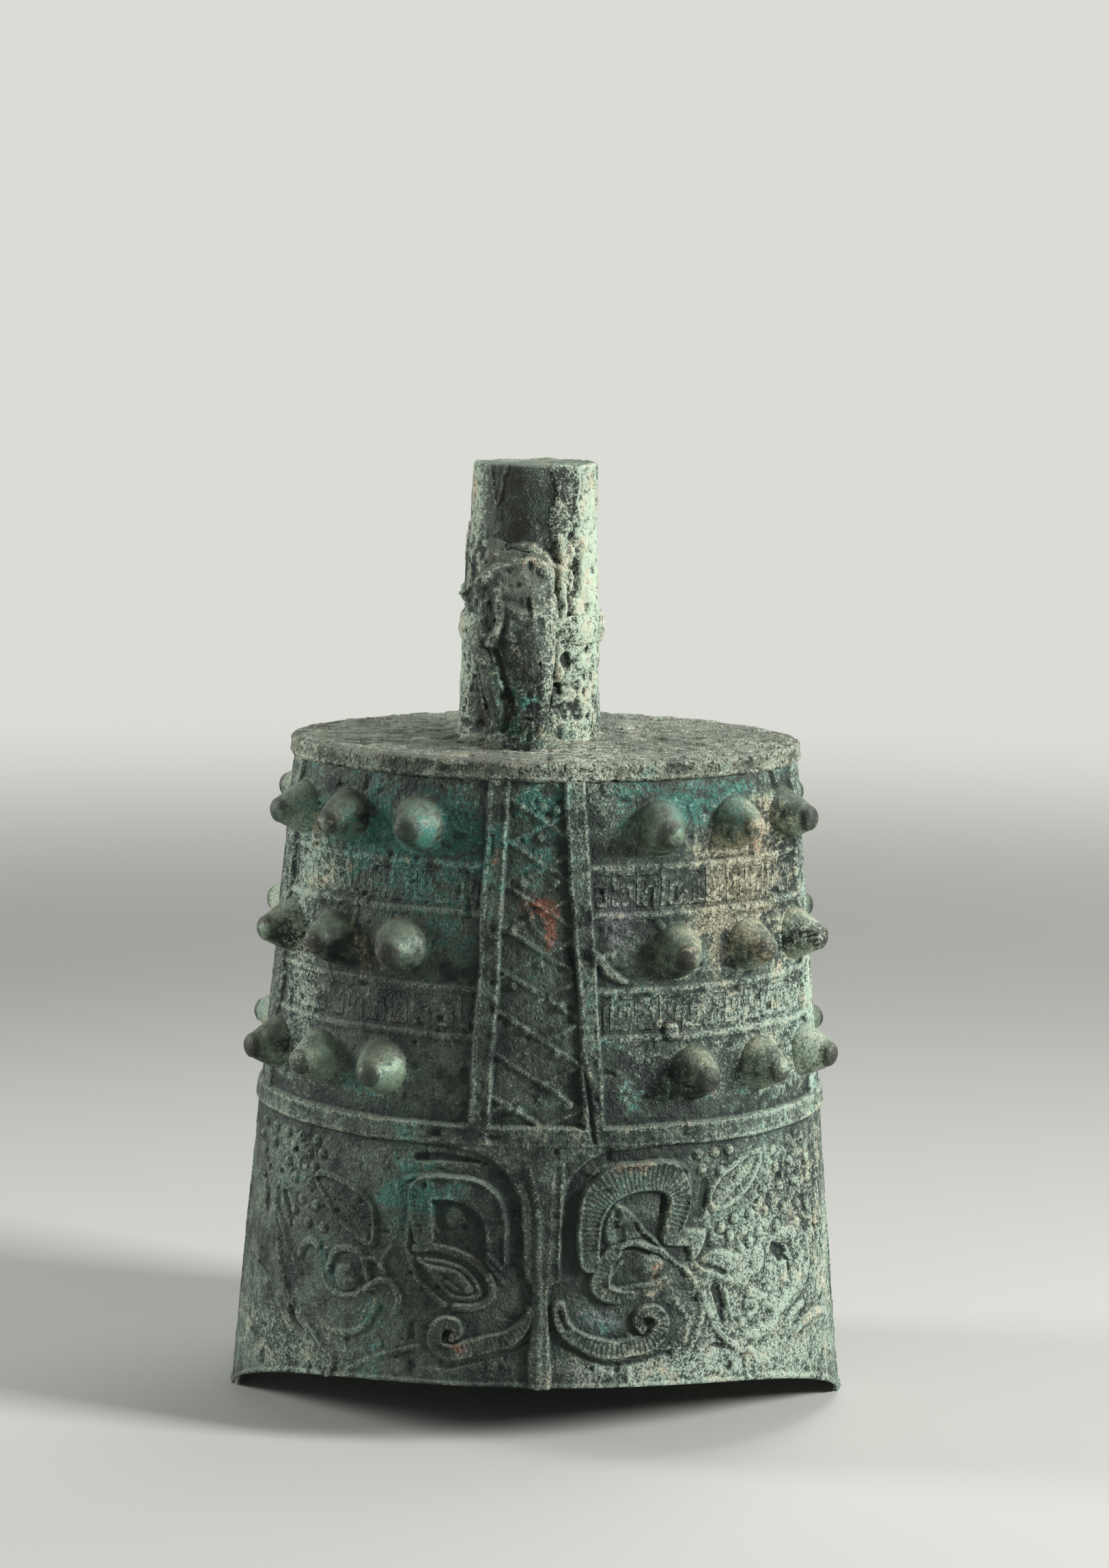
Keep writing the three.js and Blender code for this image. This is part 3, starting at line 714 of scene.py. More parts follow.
class Finish(Enum):
    """The finishes on this bell."""

    WALL = Patina("wall_patina")
    BOSS = Patina("boss_patina", body="73836f", chalk="b4c1ad", bloom_share=0.3, chalk_share=0.4, salt=0.35,
                  grit=0.18, pits=0.15, metal=0.3)
    CROWN = Patina("crown_patina", shadow="2e342f", body="828877", bloom="6b9080", chalk="c8d0be",
                   bloom_share=0.35, salt=0.65, edge=0.12, grit=0.75, pits=0.6)
    SHANK = Patina("shank_patina", shadow="20241f", body="66736a", bloom="4b8072", chalk="b9cab4",
                   chalk_share=0.7, salt=0.75, edge=0.11, drip=0.8, grit=0.45, pits=0.5)
    LOOP = Patina("loop_patina", shadow="191d1a", body="4d5a50", bloom="2d6c62", chalk="b4c0ab",
                  bloom_share=0.5, salt=0.75, edge=0.09, grit=0.4)
    CLAY = BakedClay()

    def dress(self, piece: bpy.types.Object) -> None:
        """Gives a piece this finish, made once and shared.

        Args:
            piece: The object that is dressed.
        """
        material = bpy.data.materials.get(self.value.name) or self.value.make()
        if piece.material_slots:
            for slot in piece.material_slots:
                slot.material = material
        else:
            piece.data.materials.append(material)


# The body's form


@dataclass(frozen=True)
class Plan:
    """An almond outline seen from above."""

    half_width: float
    half_depth: float
    swell: float
    blunt: float


@dataclass(frozen=True)
class BodyForm:
    """The bell's outer form: an almond plan that narrows to the crown, over an arched mouth.

    Attributes:
        mouth: Plan at the standing plane.
        crown: Plan at the crown's upper face.
        height: Height of the crown's upper face.
        wall: Thickness of the wall.
        wall_top: Height where the crown plate begins.
        lean: Share of the half width that the centre line leans at the crown.
        arch_rise: Height of the mouth's arch.
        arch_swell: How square the arch is in its middle.
        arch_blunt: How steeply it meets the tips.
        foot: Width of the flat end at each tip.
        band_bottom: Lower edge of the band across the middle.
        band_top: Upper edge of that band.
        panel_bottom: Half width of the centre panel above the band.
        panel_top: Half width of the centre panel below the crown.
        ridge: Width of the ridges beside the centre panel.
        knots: Steps across a face in the table of distances along the wall.
        levels: Heights in that table.
    """

    mouth: Plan = Plan(130, 98, 2.6, 0.58)
    crown: Plan = Plan(104, 76, 1.8, 0.54)
    height: float = 281
    wall: float = 5.5
    wall_top: float = 273
    lean: float = -0.045
    arch_rise: float = 28
    arch_swell: float = 4.5
    arch_blunt: float = 0.62
    foot: float = 1.0
    band_bottom: float = 126
    band_top: float = 134.5
    panel_bottom: float = 18.8
    panel_top: float = 10.5
    ridge: float = 8.5
    knots: int = 800
    levels: int = 29

    def plan(self, measure: str, z: Array | float) -> Array | float:
        """One measure of the plan at a height."""
        return lerp(getattr(self.mouth, measure), getattr(self.crown, measure), z / self.height)

    def half_width(self, z: Array | float) -> Array | float:
        """Half width at a height."""
        return self.plan("half_width", z)

    def at(self, share: Array, side: Array | float, z: Array, margin: Array | float = 0.0) -> Array:
        """Points of the form.

        Args:
            share: Places across, from -1 at the left tip to 1 at the right.
            side: -1 on the front and 1 on the back.
            z: Heights.
            margin: Distance that the form is moved outwards.

        Returns:
            The points.
        """
        x = share * (self.half_width(z) + margin)
        round_off = np.maximum(1 - np.abs(share) ** self.plan("swell", z), 0) ** self.plan("blunt", z)
        depth = (self.plan("half_depth", z) + margin) * round_off
        return np.stack([x, side * depth, np.broadcast_to(z, x.shape)], axis=-1)

    def leaning(self, share: Array | float, z: Array | float) -> Array | float:
        """Where a place across the face lies once the casting's lean is added."""
        return share + self.lean * (z / self.height) * (1 - share ** 2)

    def from_centre(self, distance: Array | float, z: Array | float) -> Array | float:
        """Where a distance from the leaning centre line lies at a height."""
        return self.leaning(distance / self.half_width(z), z) * self.half_width(z)

    def panel_half(self, z: Array | float) -> Array | float:
        """Half width of the centre panel's opening at a height."""
        return lerp(self.panel_bottom, self.panel_top, (z - self.band_top) / (self.wall_top - self.band_top))

    def lip(self, share: Array, margin: float = 0.0) -> Array:
        """Heights where the wall ends at the mouth.

        Args:
            share: Places across, from -1 to 1.
            margin: Distance that the form is moved outwards.

        Returns:
            The heights, found by trying again at the width of each try.
        """
        z = np.zeros_like(share)
        for _ in range(6):
            out = np.abs(share * (self.half_width(z) + margin)) / (self.mouth.half_width - self.foot)
            z = self.arch_rise * np.maximum(1 - out ** self.arch_swell, 0) ** self.arch_blunt
        return z

    def face(self, steps: int) -> Array:
        """Places across from the left tip to the right, evenly spaced along the wall.

        Args:
            steps: How many steps there are.

        Returns:
            The places, from -1 to 1.
        """
        fine = -np.cos(np.linspace(0, math.pi, 4001))
        path = self.at(fine, -1.0, np.full_like(fine, 110.0))
        run = np.concatenate([[0], np.cumsum(np.linalg.norm(np.diff(path, axis=0), axis=1))])
        return np.interp(np.linspace(0, run[-1], steps + 1), run, fine)

    def round_both(self, steps: int) -> tuple[Array, Array]:
        """Places across all round the form.

        Args:
            steps: How many steps each face has.

        Returns:
            The places, and -1 for those on the front or 1 for those on the back.
        """
        return both_faces(self.face(steps)), np.repeat([-1.0, 1.0], steps)

    def along(self, x: Array, z: Array) -> Array:
        """Distance along the wall from the middle plane to a place on the face.

        Args:
            x: Places across in millimetres.
            z: Their heights.

        Returns:
            The distances, negative to the left.
        """
        knots = -np.cos(np.linspace(0, math.pi, self.knots + 1))
        levels = np.linspace(0, self.height, self.levels + 1)
        path = self.at(knots[None, :], -1.0, levels[:, None] + 0 * knots[None, :])
        steps = np.linalg.norm(np.diff(path, axis=1), axis=2)
        run = np.concatenate([np.zeros((len(levels), 1)), np.cumsum(steps, axis=1)], axis=1)
        run -= run[:, self.knots // 2][:, None]
        column = np.arccos(-np.clip(x / self.half_width(z), -1, 1)) / math.pi * self.knots
        row = np.clip(z / self.height * self.levels, 0, self.levels - 0.001)
        r, c = row.astype(int), np.minimum(column.astype(int), self.knots - 1)
        low, high = (lerp(run[k, c], run[k, c + 1], column - c) for k in (r, r + 1))
        return lerp(low, high, row - r)


FORM = BodyForm()


def both_faces(face: Array) -> Array:
    """A face's columns from its left tip, then the same columns back again for the other face."""
    return np.concatenate([face[..., :-1], face[..., ::-1][..., :-1]], axis=-1)


# Raised work on the face


class Cut(Enum):
    """How a drawn line or outline changes the face."""

    BAND = "band"
    LINE = "line"
    GROOVE = "groove"
    PLATE = "plate"
    SUNK = "sunk"

    def __call__(self, *points: Point, **settings: object) -> "Stroke":
        """A stroke of this kind through the points; plates and sunk fields close themselves."""
        return Stroke(self, points, **{"closed": self in (Cut.PLATE, Cut.SUNK)} | settings)


BAND, LINE, GROOVE, PLATE, SUNK = Cut


@dataclass(frozen=True)
class Stroke:
    """One drawn line or outline of the face's raised work.

    Attributes:
        cut: What it does to the face.
        points: Places across and heights that it runs through, in millimetres.
        width: Its width, or several widths along it.
        rise: Height or depth of the work.
        rim: Extra height of the lines that edge it.
        hatched: How strongly its inside is hatched across, 0 to 1.
        soft: How wide its slopes are.
        closed: Whether it runs back to its start.
    """

    cut: Cut
    points: Sequence[Point]
    width: float | Sequence[float] = 2
    rise: float = 1
    rim: float = 0
    hatched: float = 0
    soft: float = 1.2
    closed: bool = False

    def path(self) -> tuple[Array, Array]:
        """The stroke as a smooth line.

        Returns:
            Its points, about a millimetre apart, and the half width at each.
        """
        knots = np.array(self.points, dtype=float)
        widths = np.array(self.width, dtype=float) + np.zeros(len(knots))
        if self.closed:
            knots, widths = np.vstack([knots, knots[:1]]), np.append(widths, widths[0])
        ends = (knots[-2], knots[1]) if self.closed else (2 * knots[0] - knots[1], 2 * knots[-1] - knots[-2])
        padded = np.vstack([ends[0], knots, ends[1]])
        line, half = [], []
        for i in range(len(knots) - 1):
            a, b, c, d = padded[i:i + 4]
            t = np.linspace(0, 1, max(int(np.linalg.norm(c - b)), 2), endpoint=False)[:, None]
            line.append(0.5 * (2 * b + (c - a) * t + (2 * a - 5 * b + 4 * c - d) * t ** 2
                               + (3 * b - a - 3 * c + d) * t ** 3))
            half.append(lerp(widths[i], widths[i + 1], t[:, 0]) / 2)
        return np.vstack([*line, knots[-1:]]), np.concatenate([*half, widths[-1:] / 2])


class Canvas:
    """A face laid out flat, with the height of the raised work at every point of the mesh."""

    def __init__(self, x: Array, z: Array, layout: Callable[[Array, Array], Array], warp: float = 0.45) -> None:
        """Lays out the points of a face.

        Args:
            x: Places across in millimetres, rows by columns.
            z: Their heights.
            layout: Gives distances along the face for places across and heights.
            warp: How far the drawing wavers, in millimetres.
        """
        waver = Grain(5)
        spots = np.stack([x.ravel(), 0 * x.ravel(), z.ravel()], axis=1)
        self.shape = x.shape
        self.layout = layout
        self.across = layout(x.ravel(), z.ravel()) + warp * waver.rough(spots, 11, 2)
        self.up = z.ravel() + warp * waver.rough(spots + 50, 11, 2)
        self.rise, self.hatch, self.phase = np.zeros((3, x.size))

    def near(self, line: Array, reach: float) -> Array:
        """Indices of the points that lie in the box round a line."""
        low, high = line.min(axis=0) - reach, line.max(axis=0) + reach
        return np.flatnonzero((self.across > low[0]) & (self.across < high[0])
                              & (self.up > low[1]) & (self.up < high[1]))

    def measure(self, line: Array, half: Array, chosen: Array) -> tuple[Array, Array, Array]:
        """How the chosen points lie to a line.

        Args:
            line: The laid out line.
            half: Half width at each of its points.
            chosen: Indices of the mesh points.

        Returns:
            Distance to the line, distance along it, and its half width there.
        """
        spot = np.stack([self.across[chosen], self.up[chosen]], axis=1)
        best = np.full(len(chosen), np.inf)
        run, wide = np.zeros((2, len(chosen)))
        start = 0.0
        for a, b, wa, wb in zip(line[:-1], line[1:], half[:-1], half[1:]):
            step = b - a
            length = float(np.hypot(*step)) or 1e-6
            share = np.clip(((spot - a) @ step) / length ** 2, 0, 1)
            apart = np.hypot(*(spot - a - share[:, None] * step).T)
            closer = apart < best
            best = np.where(closer, apart, best)
            run = np.where(closer, start + share * length, run)
            wide = np.where(closer, lerp(wa, wb, share), wide)
            start += length
        return best, run, wide

    def enclosed(self, line: Array, chosen: Array) -> Array:
        """Which of the chosen points lie inside a closed line.

        Args:
            line: The laid out line.
            chosen: Indices of the mesh points.

        Returns:
            True or false for each.
        """
        s, u = self.across[chosen], self.up[chosen]
        inside = np.zeros(len(chosen), dtype=bool)
        for a, b in zip(line, np.roll(line, -1, axis=0)):
            if a[1] != b[1]:
                inside ^= ((a[1] > u) != (b[1] > u)) & (s < (b[0] - a[0]) * (u - a[1]) / (b[1] - a[1]) + a[0])
        return inside

    def draw(self, strokes: Sequence[Stroke]) -> None:
        """Adds strokes to the face.

        Args:
            strokes: What is drawn, in order.
        """
        for stroke in strokes:
            line, half = stroke.path()
            line[:, 0] = self.layout(line[:, 0], line[:, 1])
            chosen = self.near(line, half.max() + 2 * stroke.soft + 2)
            if len(chosen):
                self.stroke(stroke, line, half, chosen)

    def stroke(self, stroke: Stroke, line: Array, half: Array, chosen: Array) -> None:
        """Adds one stroke.

        Args:
            stroke: What is drawn.
            line: Its path, laid out.
            half: Its half width along the path.
            chosen: Indices of the points near it.
        """
        apart, run, wide = self.measure(line, half, chosen)
        if stroke.cut in (PLATE, SUNK):
            signed = np.where(self.enclosed(line, chosen), -apart, apart)
            body = ease(signed, stroke.soft / 2, -stroke.soft / 2)
            edge = mound(signed + 0.8, 0.7)
        else:
            body = ease(apart, wide + stroke.soft / 2, wide - stroke.soft / 2)
            edge = mound(apart - wide + 0.7, 0.6)
        work = stroke.rise * body + stroke.rim * edge
        if stroke.cut in (GROOVE, SUNK):
            self.rise[chosen] -= work
        elif stroke.cut is LINE:
            self.rise[chosen] += work
        else:
            self.rise[chosen] = np.maximum(self.rise[chosen], work)
        if stroke.hatched:
            inner = stroke.hatched * body * ease(apart, wide - 0.6, wide - 1.4)
            self.phase[chosen] = np.where(inner > self.hatch[chosen], run, self.phase[chosen])
            self.hatch[chosen] = np.maximum(self.hatch[chosen], inner)

    def bar(self, left: Array, right: Array, ends: Point, rise: float, rim: float = 0,
            soft: float = 1.4) -> None:
        """Adds a long raised bar between two edges.

        Args:
            left: Place across of its left edge, at the height of each mesh point.
            right: Place across of its right edge.
            ends: Heights where it begins and ends.
            rise: How far it stands out.
            rim: Extra height of its edge lines.
            soft: How wide its slopes are.
        """
        z = self.up
        aside = np.maximum(self.layout(left, z) - self.across, self.across - self.layout(right, z))
        signed = np.maximum(aside, np.maximum(ends[0] - z, z - ends[1]))
        work = rise * ease(signed, soft / 2, -soft / 2) + rim * mound(signed + 1.0, 0.7)
        self.rise = np.maximum(self.rise, work)

    def studs(self, spots: Sequence[Point], radius: float, rise: float) -> None:
        """Adds small round knobs, or hollows where the rise is less than 0.

        Args:
            spots: Their places.
            radius: Radius of each.
            rise: Height of each.
        """
        for x, z in spots:
            across = self.layout(np.array([x]), np.array([z]))[0]
            chosen = self.near(np.array([[across, z]]), radius * 1.8)
            apart = np.hypot(self.across[chosen] - across, self.up[chosen] - z) / radius
            dome = np.sqrt(np.clip(1 - apart ** 2, 0, 1))
            self.rise[chosen] += rise * (dome - 0.16 * mound(apart - 1.3, 0.22))

    def value(self, name: str) -> Array:
        """One of the canvas's values as rows and columns."""
        return getattr(self, name).reshape(self.shape)


@dataclass(frozen=True)
class BeastMask:
    """The mask between the mouth and the band.

    Attributes:
        nose: The bar down the middle, its edge lines and the recesses beside it.
        right_horn: The hooked horn over the right eye, with a second limb folded inside it.
        left_horn: The hooked horn over the left eye.
        eyes: Both eyes: rims, balls, hollows and lid lines.
        trunks: The two hatched trunks that curl up from the nose.
        ears: Leaf ears, their veins cut as plain hatching.
        right_body: The coiled body, leg, curls and cracks at the right.
        left_body: The coiled body, curls and roots at the left.
        studs: The knobs of its ground.
        dots: The hollows of its ground.
    """

    NOSE_RIGHT = (
        (4.2, 29), (3.8, 48.8), (3, 60), (3.2, 69.6), (7.4, 72.6), (7.8, 84), (8.4, 97), (10, 108),
        (13.8, 115.4), (19, 120.4), (27, 124), (38, 125.8), (52, 126.6), (52, 129))
    NOSE_LEFT = (
        (-52, 129), (-52, 126.4), (-38, 125.6), (-26, 123.6), (-19.4, 119.8), (-13.8, 114.4), (-10.6, 108.4),
        (-8.6, 101.7), (-7.6, 92), (-6.8, 74), (-3.4, 70), (-3.4, 60), (-4, 29))
    RIGHT_EAR = (
        (88.2, 119), (89.2, 114.9), (87.2, 110.3), (84.9, 106.4), (81.4, 102.6), (77.9, 99.8), (73.3, 98.3),
        (69, 98.8), (68.6, 104), (71.6, 109.6), (76.6, 113.6), (82, 117))
    LEFT_EAR = (
        (-90.5, 106.9), (-85.3, 106.9), (-80.2, 105.5), (-75.7, 103.8), (-71.2, 100.9), (-68.7, 98.2),
        (-67.4, 93.5), (-66.7, 88), (-68.6, 82.6), (-75, 85.4), (-83.1, 90.7), (-88.4, 98.8), (-90.7, 103.1))

    nose: Sequence[Stroke] = (
        PLATE(*NOSE_RIGHT, *NOSE_LEFT, rise=2.1),
        LINE((-0.3, 30), (-0.3, 62), (-0.8, 77), (-1.3, 89.5), (-1.8, 102), (-3.8, 110.4), (-5.8, 118),
            width=2.4, rise=0.9, soft=1.6),
        LINE((7, 74), (7.2, 93), (7.6, 104), (8, 115), (6.9, 125), width=1.3, rise=0.6, soft=1),
        LINE((3, 36), (2.4, 60), (3, 82), (3.4, 100), (4.6, 116), width=1.2, rise=0.4),
        BAND((5, 74), (5.4, 90), (5.8, 103), (6.4, 113), width=4, rise=1.5, hatched=0.6),
        BAND((-4.6, 74), (-5, 90), (-5.6, 103), (-7, 112), width=4, rise=1.5, hatched=0.4),
        GROOVE((13.2, 79.4), (10.9, 87.7), (10.9, 98.8), (12.6, 109.9), (17.2, 117.4), (24, 121.6), (36, 122.6),
            width=(5, 4.4, 4.4, 4.4, 3.4, 2.6, 2), rise=2.1, soft=2.2),
        GROOVE((-11, 76), (-10.9, 92), (-11.8, 101.5), (-14.4, 108.6), (-19, 114.8), (-27, 118.8), (-40, 120.4),
            (-50, 119.6), width=3.6, rise=1.7, soft=2.2),
    )
    right_horn: Sequence[Stroke] = (
        BAND((19.4, 80), (18.7, 88), (19.4, 97), (21.6, 104.5), (27, 110.6), (35, 113.6), (44, 113.9),
            (51.5, 112), (55.4, 105.5), (54.6, 98.5), (52.4, 92.5),
            width=(8, 8.6, 9.6, 12, 13, 12, 11.4, 12.4, 10, 9.4, 8), rise=2.6, rim=0.6, hatched=0.75),
        SUNK((33, 106), (38, 107), (46, 107.6), (50.4, 106.4), (50.8, 102.6), (49, 97.6), (47.6, 92.4),
            (43.5, 92.4), (39.4, 97), (35.6, 101), rise=1.8, soft=1.4),
        PLATE((28.5, 101.5), (32.5, 101), (38, 96), (41, 91.6), (38, 89.4), (32, 88), (27, 86.8), (25, 91),
            (25.6, 96.5), rise=1.7, soft=2.2),
        PLATE((48.4, 91.6), (54.6, 91.8), (61, 91.2), (67, 89.8), (65.5, 84.9), (63.3, 80), (60.5, 78.5),
            (58.8, 83.8), (53, 85), (48.4, 86.4), rise=2.2, soft=1.6),
        SUNK((50.4, 84), (58.5, 83.4), (56.4, 78.6), (52.2, 80.8), rise=1.6, soft=1.4),
        LINE((31, 103.5), (27, 101.5), (24.6, 97), (23.2, 90), (22.6, 85), width=1.6, rise=0.8),
        LINE((15.6, 82), (14.8, 92), (15.4, 101), (17.4, 110), (21.6, 116.6), (30, 119), (42, 119.6), (51, 119),
            (57.6, 116), (60, 110), (60, 103), (58.6, 98), (56, 92.6), width=1.7, rise=0.9, soft=1),
        LINE((30, 102.6), (33.5, 101), (38.3, 96.6), (41.7, 91.4), (47.4, 85.5), (51, 81.4), (56, 76.5),
            (60.6, 72.8), width=1.4, rise=1.3, soft=0.9),
        GROOVE((37, 95.4), (40.5, 90.2), (46.2, 84.4), width=1.4),
        GROOVE((29.9, 100), (29.8, 98.4), width=2.4, rise=1.2),
        GROOVE((29.5, 95.2), (29.6, 94), width=2.4, rise=1.2),
    )
    left_horn: Sequence[Stroke] = (
        BAND((-18, 80), (-18.2, 87), (-18.4, 93.5), (-20, 99), (-22.6, 103.5), (-28.2, 106.9), (-34.4, 108.3),
            (-42, 108.6), (-47.8, 106.6), (-48.2, 101), (-47.8, 95), (-46.8, 88.6),
            width=(7.4, 8, 9, 10, 11, 11.6, 10.2, 9.8, 10.4, 10, 9.6, 8.6), rise=2.3, rim=0.4, hatched=0.4),
        LINE((-55, 111), (-50.3, 112.5), (-43.5, 113.4), (-35.6, 113.4), (-28.2, 112.6), (-20.9, 109.9),
            (-17.1, 105.7), (-15.2, 100.3), (-13.9, 94.2), (-14.1, 86.8), (-14.3, 79), width=1.8, rise=0.9),
        SUNK((-42.7, 100.6), (-40.3, 103.6), (-33, 103.2), (-28.1, 101), (-24.9, 97.4), (-23, 92.6),
            (-22.3, 86.5), (-22.6, 83.4), (-31.5, 86), (-39.5, 89.2), (-43, 95.1), rise=1.7, soft=1.8),
        PLATE((-38.4, 97.4), (-35, 100.4), (-31, 98.8), (-30, 95), (-33, 92.4), (-37, 93.4), rise=1.4, soft=3),
        LINE((-43.4, 101.2), (-43, 95.1), (-41.4, 90.3), width=1.6),
        LINE((-53, 108), (-53.4, 102), (-53.2, 96), (-52.8, 86), width=1.6, rise=0.8),
    )
    eyes: Sequence[Stroke] = (
        BAND((-50, 83), (-42, 84), (-33, 82), (-24.5, 77.5), (-20, 70), (-21, 64), (-27, 60.6), (-34, 60.4),
            width=3, rise=1.5),
        SUNK((-47, 79), (-40, 80.6), (-31.6, 78), (-24.6, 72.6), (-22.8, 67), (-27.6, 63.6), (-35, 64.6),
            (-41, 69.6), rise=1.2, soft=1.8),
        PLATE((-45.5, 76.6), (-40.5, 76.4), (-33.8, 75.5), (-28.8, 70.8), (-27.2, 67.4), (-30, 66.2),
            (-35, 67.2), (-40.5, 71.4), rise=2.4, soft=3.6),
        GROOVE((-39.9, 73.4), (-35.6, 70.6), (-31.4, 68), width=1.8),
        LINE((-48.6, 78.6), (-44.8, 75.3), (-40.5, 69.5), (-35.5, 64.9), (-29.3, 64), (-25.1, 66.1), width=1.8,
            rise=1.4),
        LINE((-46, 78.8), (-37.5, 77.9), (-31.6, 76.1), (-27, 71.8), (-25, 67.6), width=1.4, rise=1.3),
        LINE((-53.6, 84.2), (-51.4, 77), (-49.1, 70.6), (-46, 67.2), (-42.2, 63.2), (-38.5, 61), rise=1.1),
        LINE((-21.7, 82.8), (-16.1, 76.9), width=1.6, rise=0.9),
        LINE((-22.9, 79.7), (-18.5, 74.9), (-15.4, 70.7), width=1.6, rise=0.9),
        BAND((29.5, 84), (26, 80), (24.2, 75.2), (23.8, 70.8), (26, 66.8), (31.3, 65.3), (36, 65.4),
            width=(6, 7, 7.8, 8, 6.6, 5.6, 4), rise=1.9, rim=0.4, hatched=0.6),
        SUNK((30.7, 73.6), (31.6, 77.4), (36, 79.6), (49.6, 80.4), (50.6, 75), (43.4, 71.6), (33.8, 70.2),
            rise=1.5, soft=1.8),
        SUNK((30.7, 73.6), (32, 76.9), (35.3, 77.3), (37.4, 75), (37, 71.4), (33.8, 70.4), rise=1.4, soft=1.6),
        PLATE((38.6, 78.3), (40.8, 81.5), (44.1, 82.6), (47.5, 81.3), (48.9, 78.2), (46.5, 75.4), (43.1, 74.5),
            (39.8, 75.4), rise=2.6, soft=5),
        LINE((32.5, 79.7), (29.8, 77), (28.2, 73.7), (27.7, 70.6), (31, 68.3), (36.6, 68.7), (43.8, 69.9),
            (50, 72.4), width=1.6, rise=1.3),
        BAND((31.8, 86), (34, 87.4), (38.4, 87.4), (42.9, 85.2), (47.4, 83.4), (49.7, 81.4), width=2.6,
            rise=2.6),
        GROOVE((33, 84.6), (38, 85.2), (42.4, 83), width=1.6),
    )
    trunks: Sequence[Stroke] = (
        BAND((7.2, 61), (8.3, 55.8), (11.7, 50.8), (17.2, 47.4), (23.4, 45.2), (30, 44.2), (36.8, 45),
            (42.5, 46.2), (47, 48.6), (49.6, 52.6), (48.8, 56.6), (45, 59.2), (40.6, 58.4), (39.4, 54.8),
            (41.4, 51.6), width=(5.5, 6, 6.2, 6.4, 7.4, 7, 7.6, 8, 7.4, 6.4, 5.6, 5, 4.6, 4, 3.2), rise=2.2,
            rim=0.5, hatched=0.75),
        BAND((-4, 60), (-7, 53.5), (-13, 48.5), (-21, 46), (-30, 43.6), (-37, 42), (-41.5, 44.6), (-42.2, 49.6),
            (-39.4, 53.4), (-34.6, 53.6), (-33, 50.2), (-35.4, 48),
            width=(3, 5, 6.5, 7, 7, 6.6, 6.2, 6, 5.6, 5, 4, 3), rise=1.8, rim=0.4, hatched=0.4),
        GROOVE((7.4, 59.4), (8.9, 56.1), (10.3, 52.8), width=1.6, rise=1.1),
        GROOVE((9.5, 46.4), (15.4, 42.8), (22.1, 39.8), (28.2, 38.4), (38, 38.6), (50, 41.5), rise=0.9),
        GROOVE((-4, 47), (-14, 42), (-27, 38.4), (-38, 35.6), rise=0.8),
        GROOVE((44.2, 53.8), (45.6, 54.6), width=3, rise=1.5, soft=1.6),
        GROOVE((-37.6, 48.6), (-37.8, 50.4), width=2.6, rise=1.2, soft=1.6),
        LINE((36, 36.2), (36.1, 31.8), rise=0.9),
    )
    ears: Sequence[Stroke] = (
        SUNK(*RIGHT_EAR, rise=0.7, soft=1.4),
        BAND(*RIGHT_EAR, width=1.9, rise=1.3, closed=True),
        LINE((70, 99.4), (76, 104.4), (82, 110.4), (87, 117.4), width=3, rise=0.9, hatched=0.7),
        GROOVE((66.5, 109), (65.8, 101.5), (63.4, 96.5), width=3.4, rise=1.5, soft=2),
        SUNK(*LEFT_EAR, soft=1.4),
        BAND(*LEFT_EAR, width=1.9, rise=1.7, closed=True),
        LINE((-70, 85), (-76, 93), (-83, 100), (-90, 105), width=3, rise=0.8, hatched=0.5),
    )
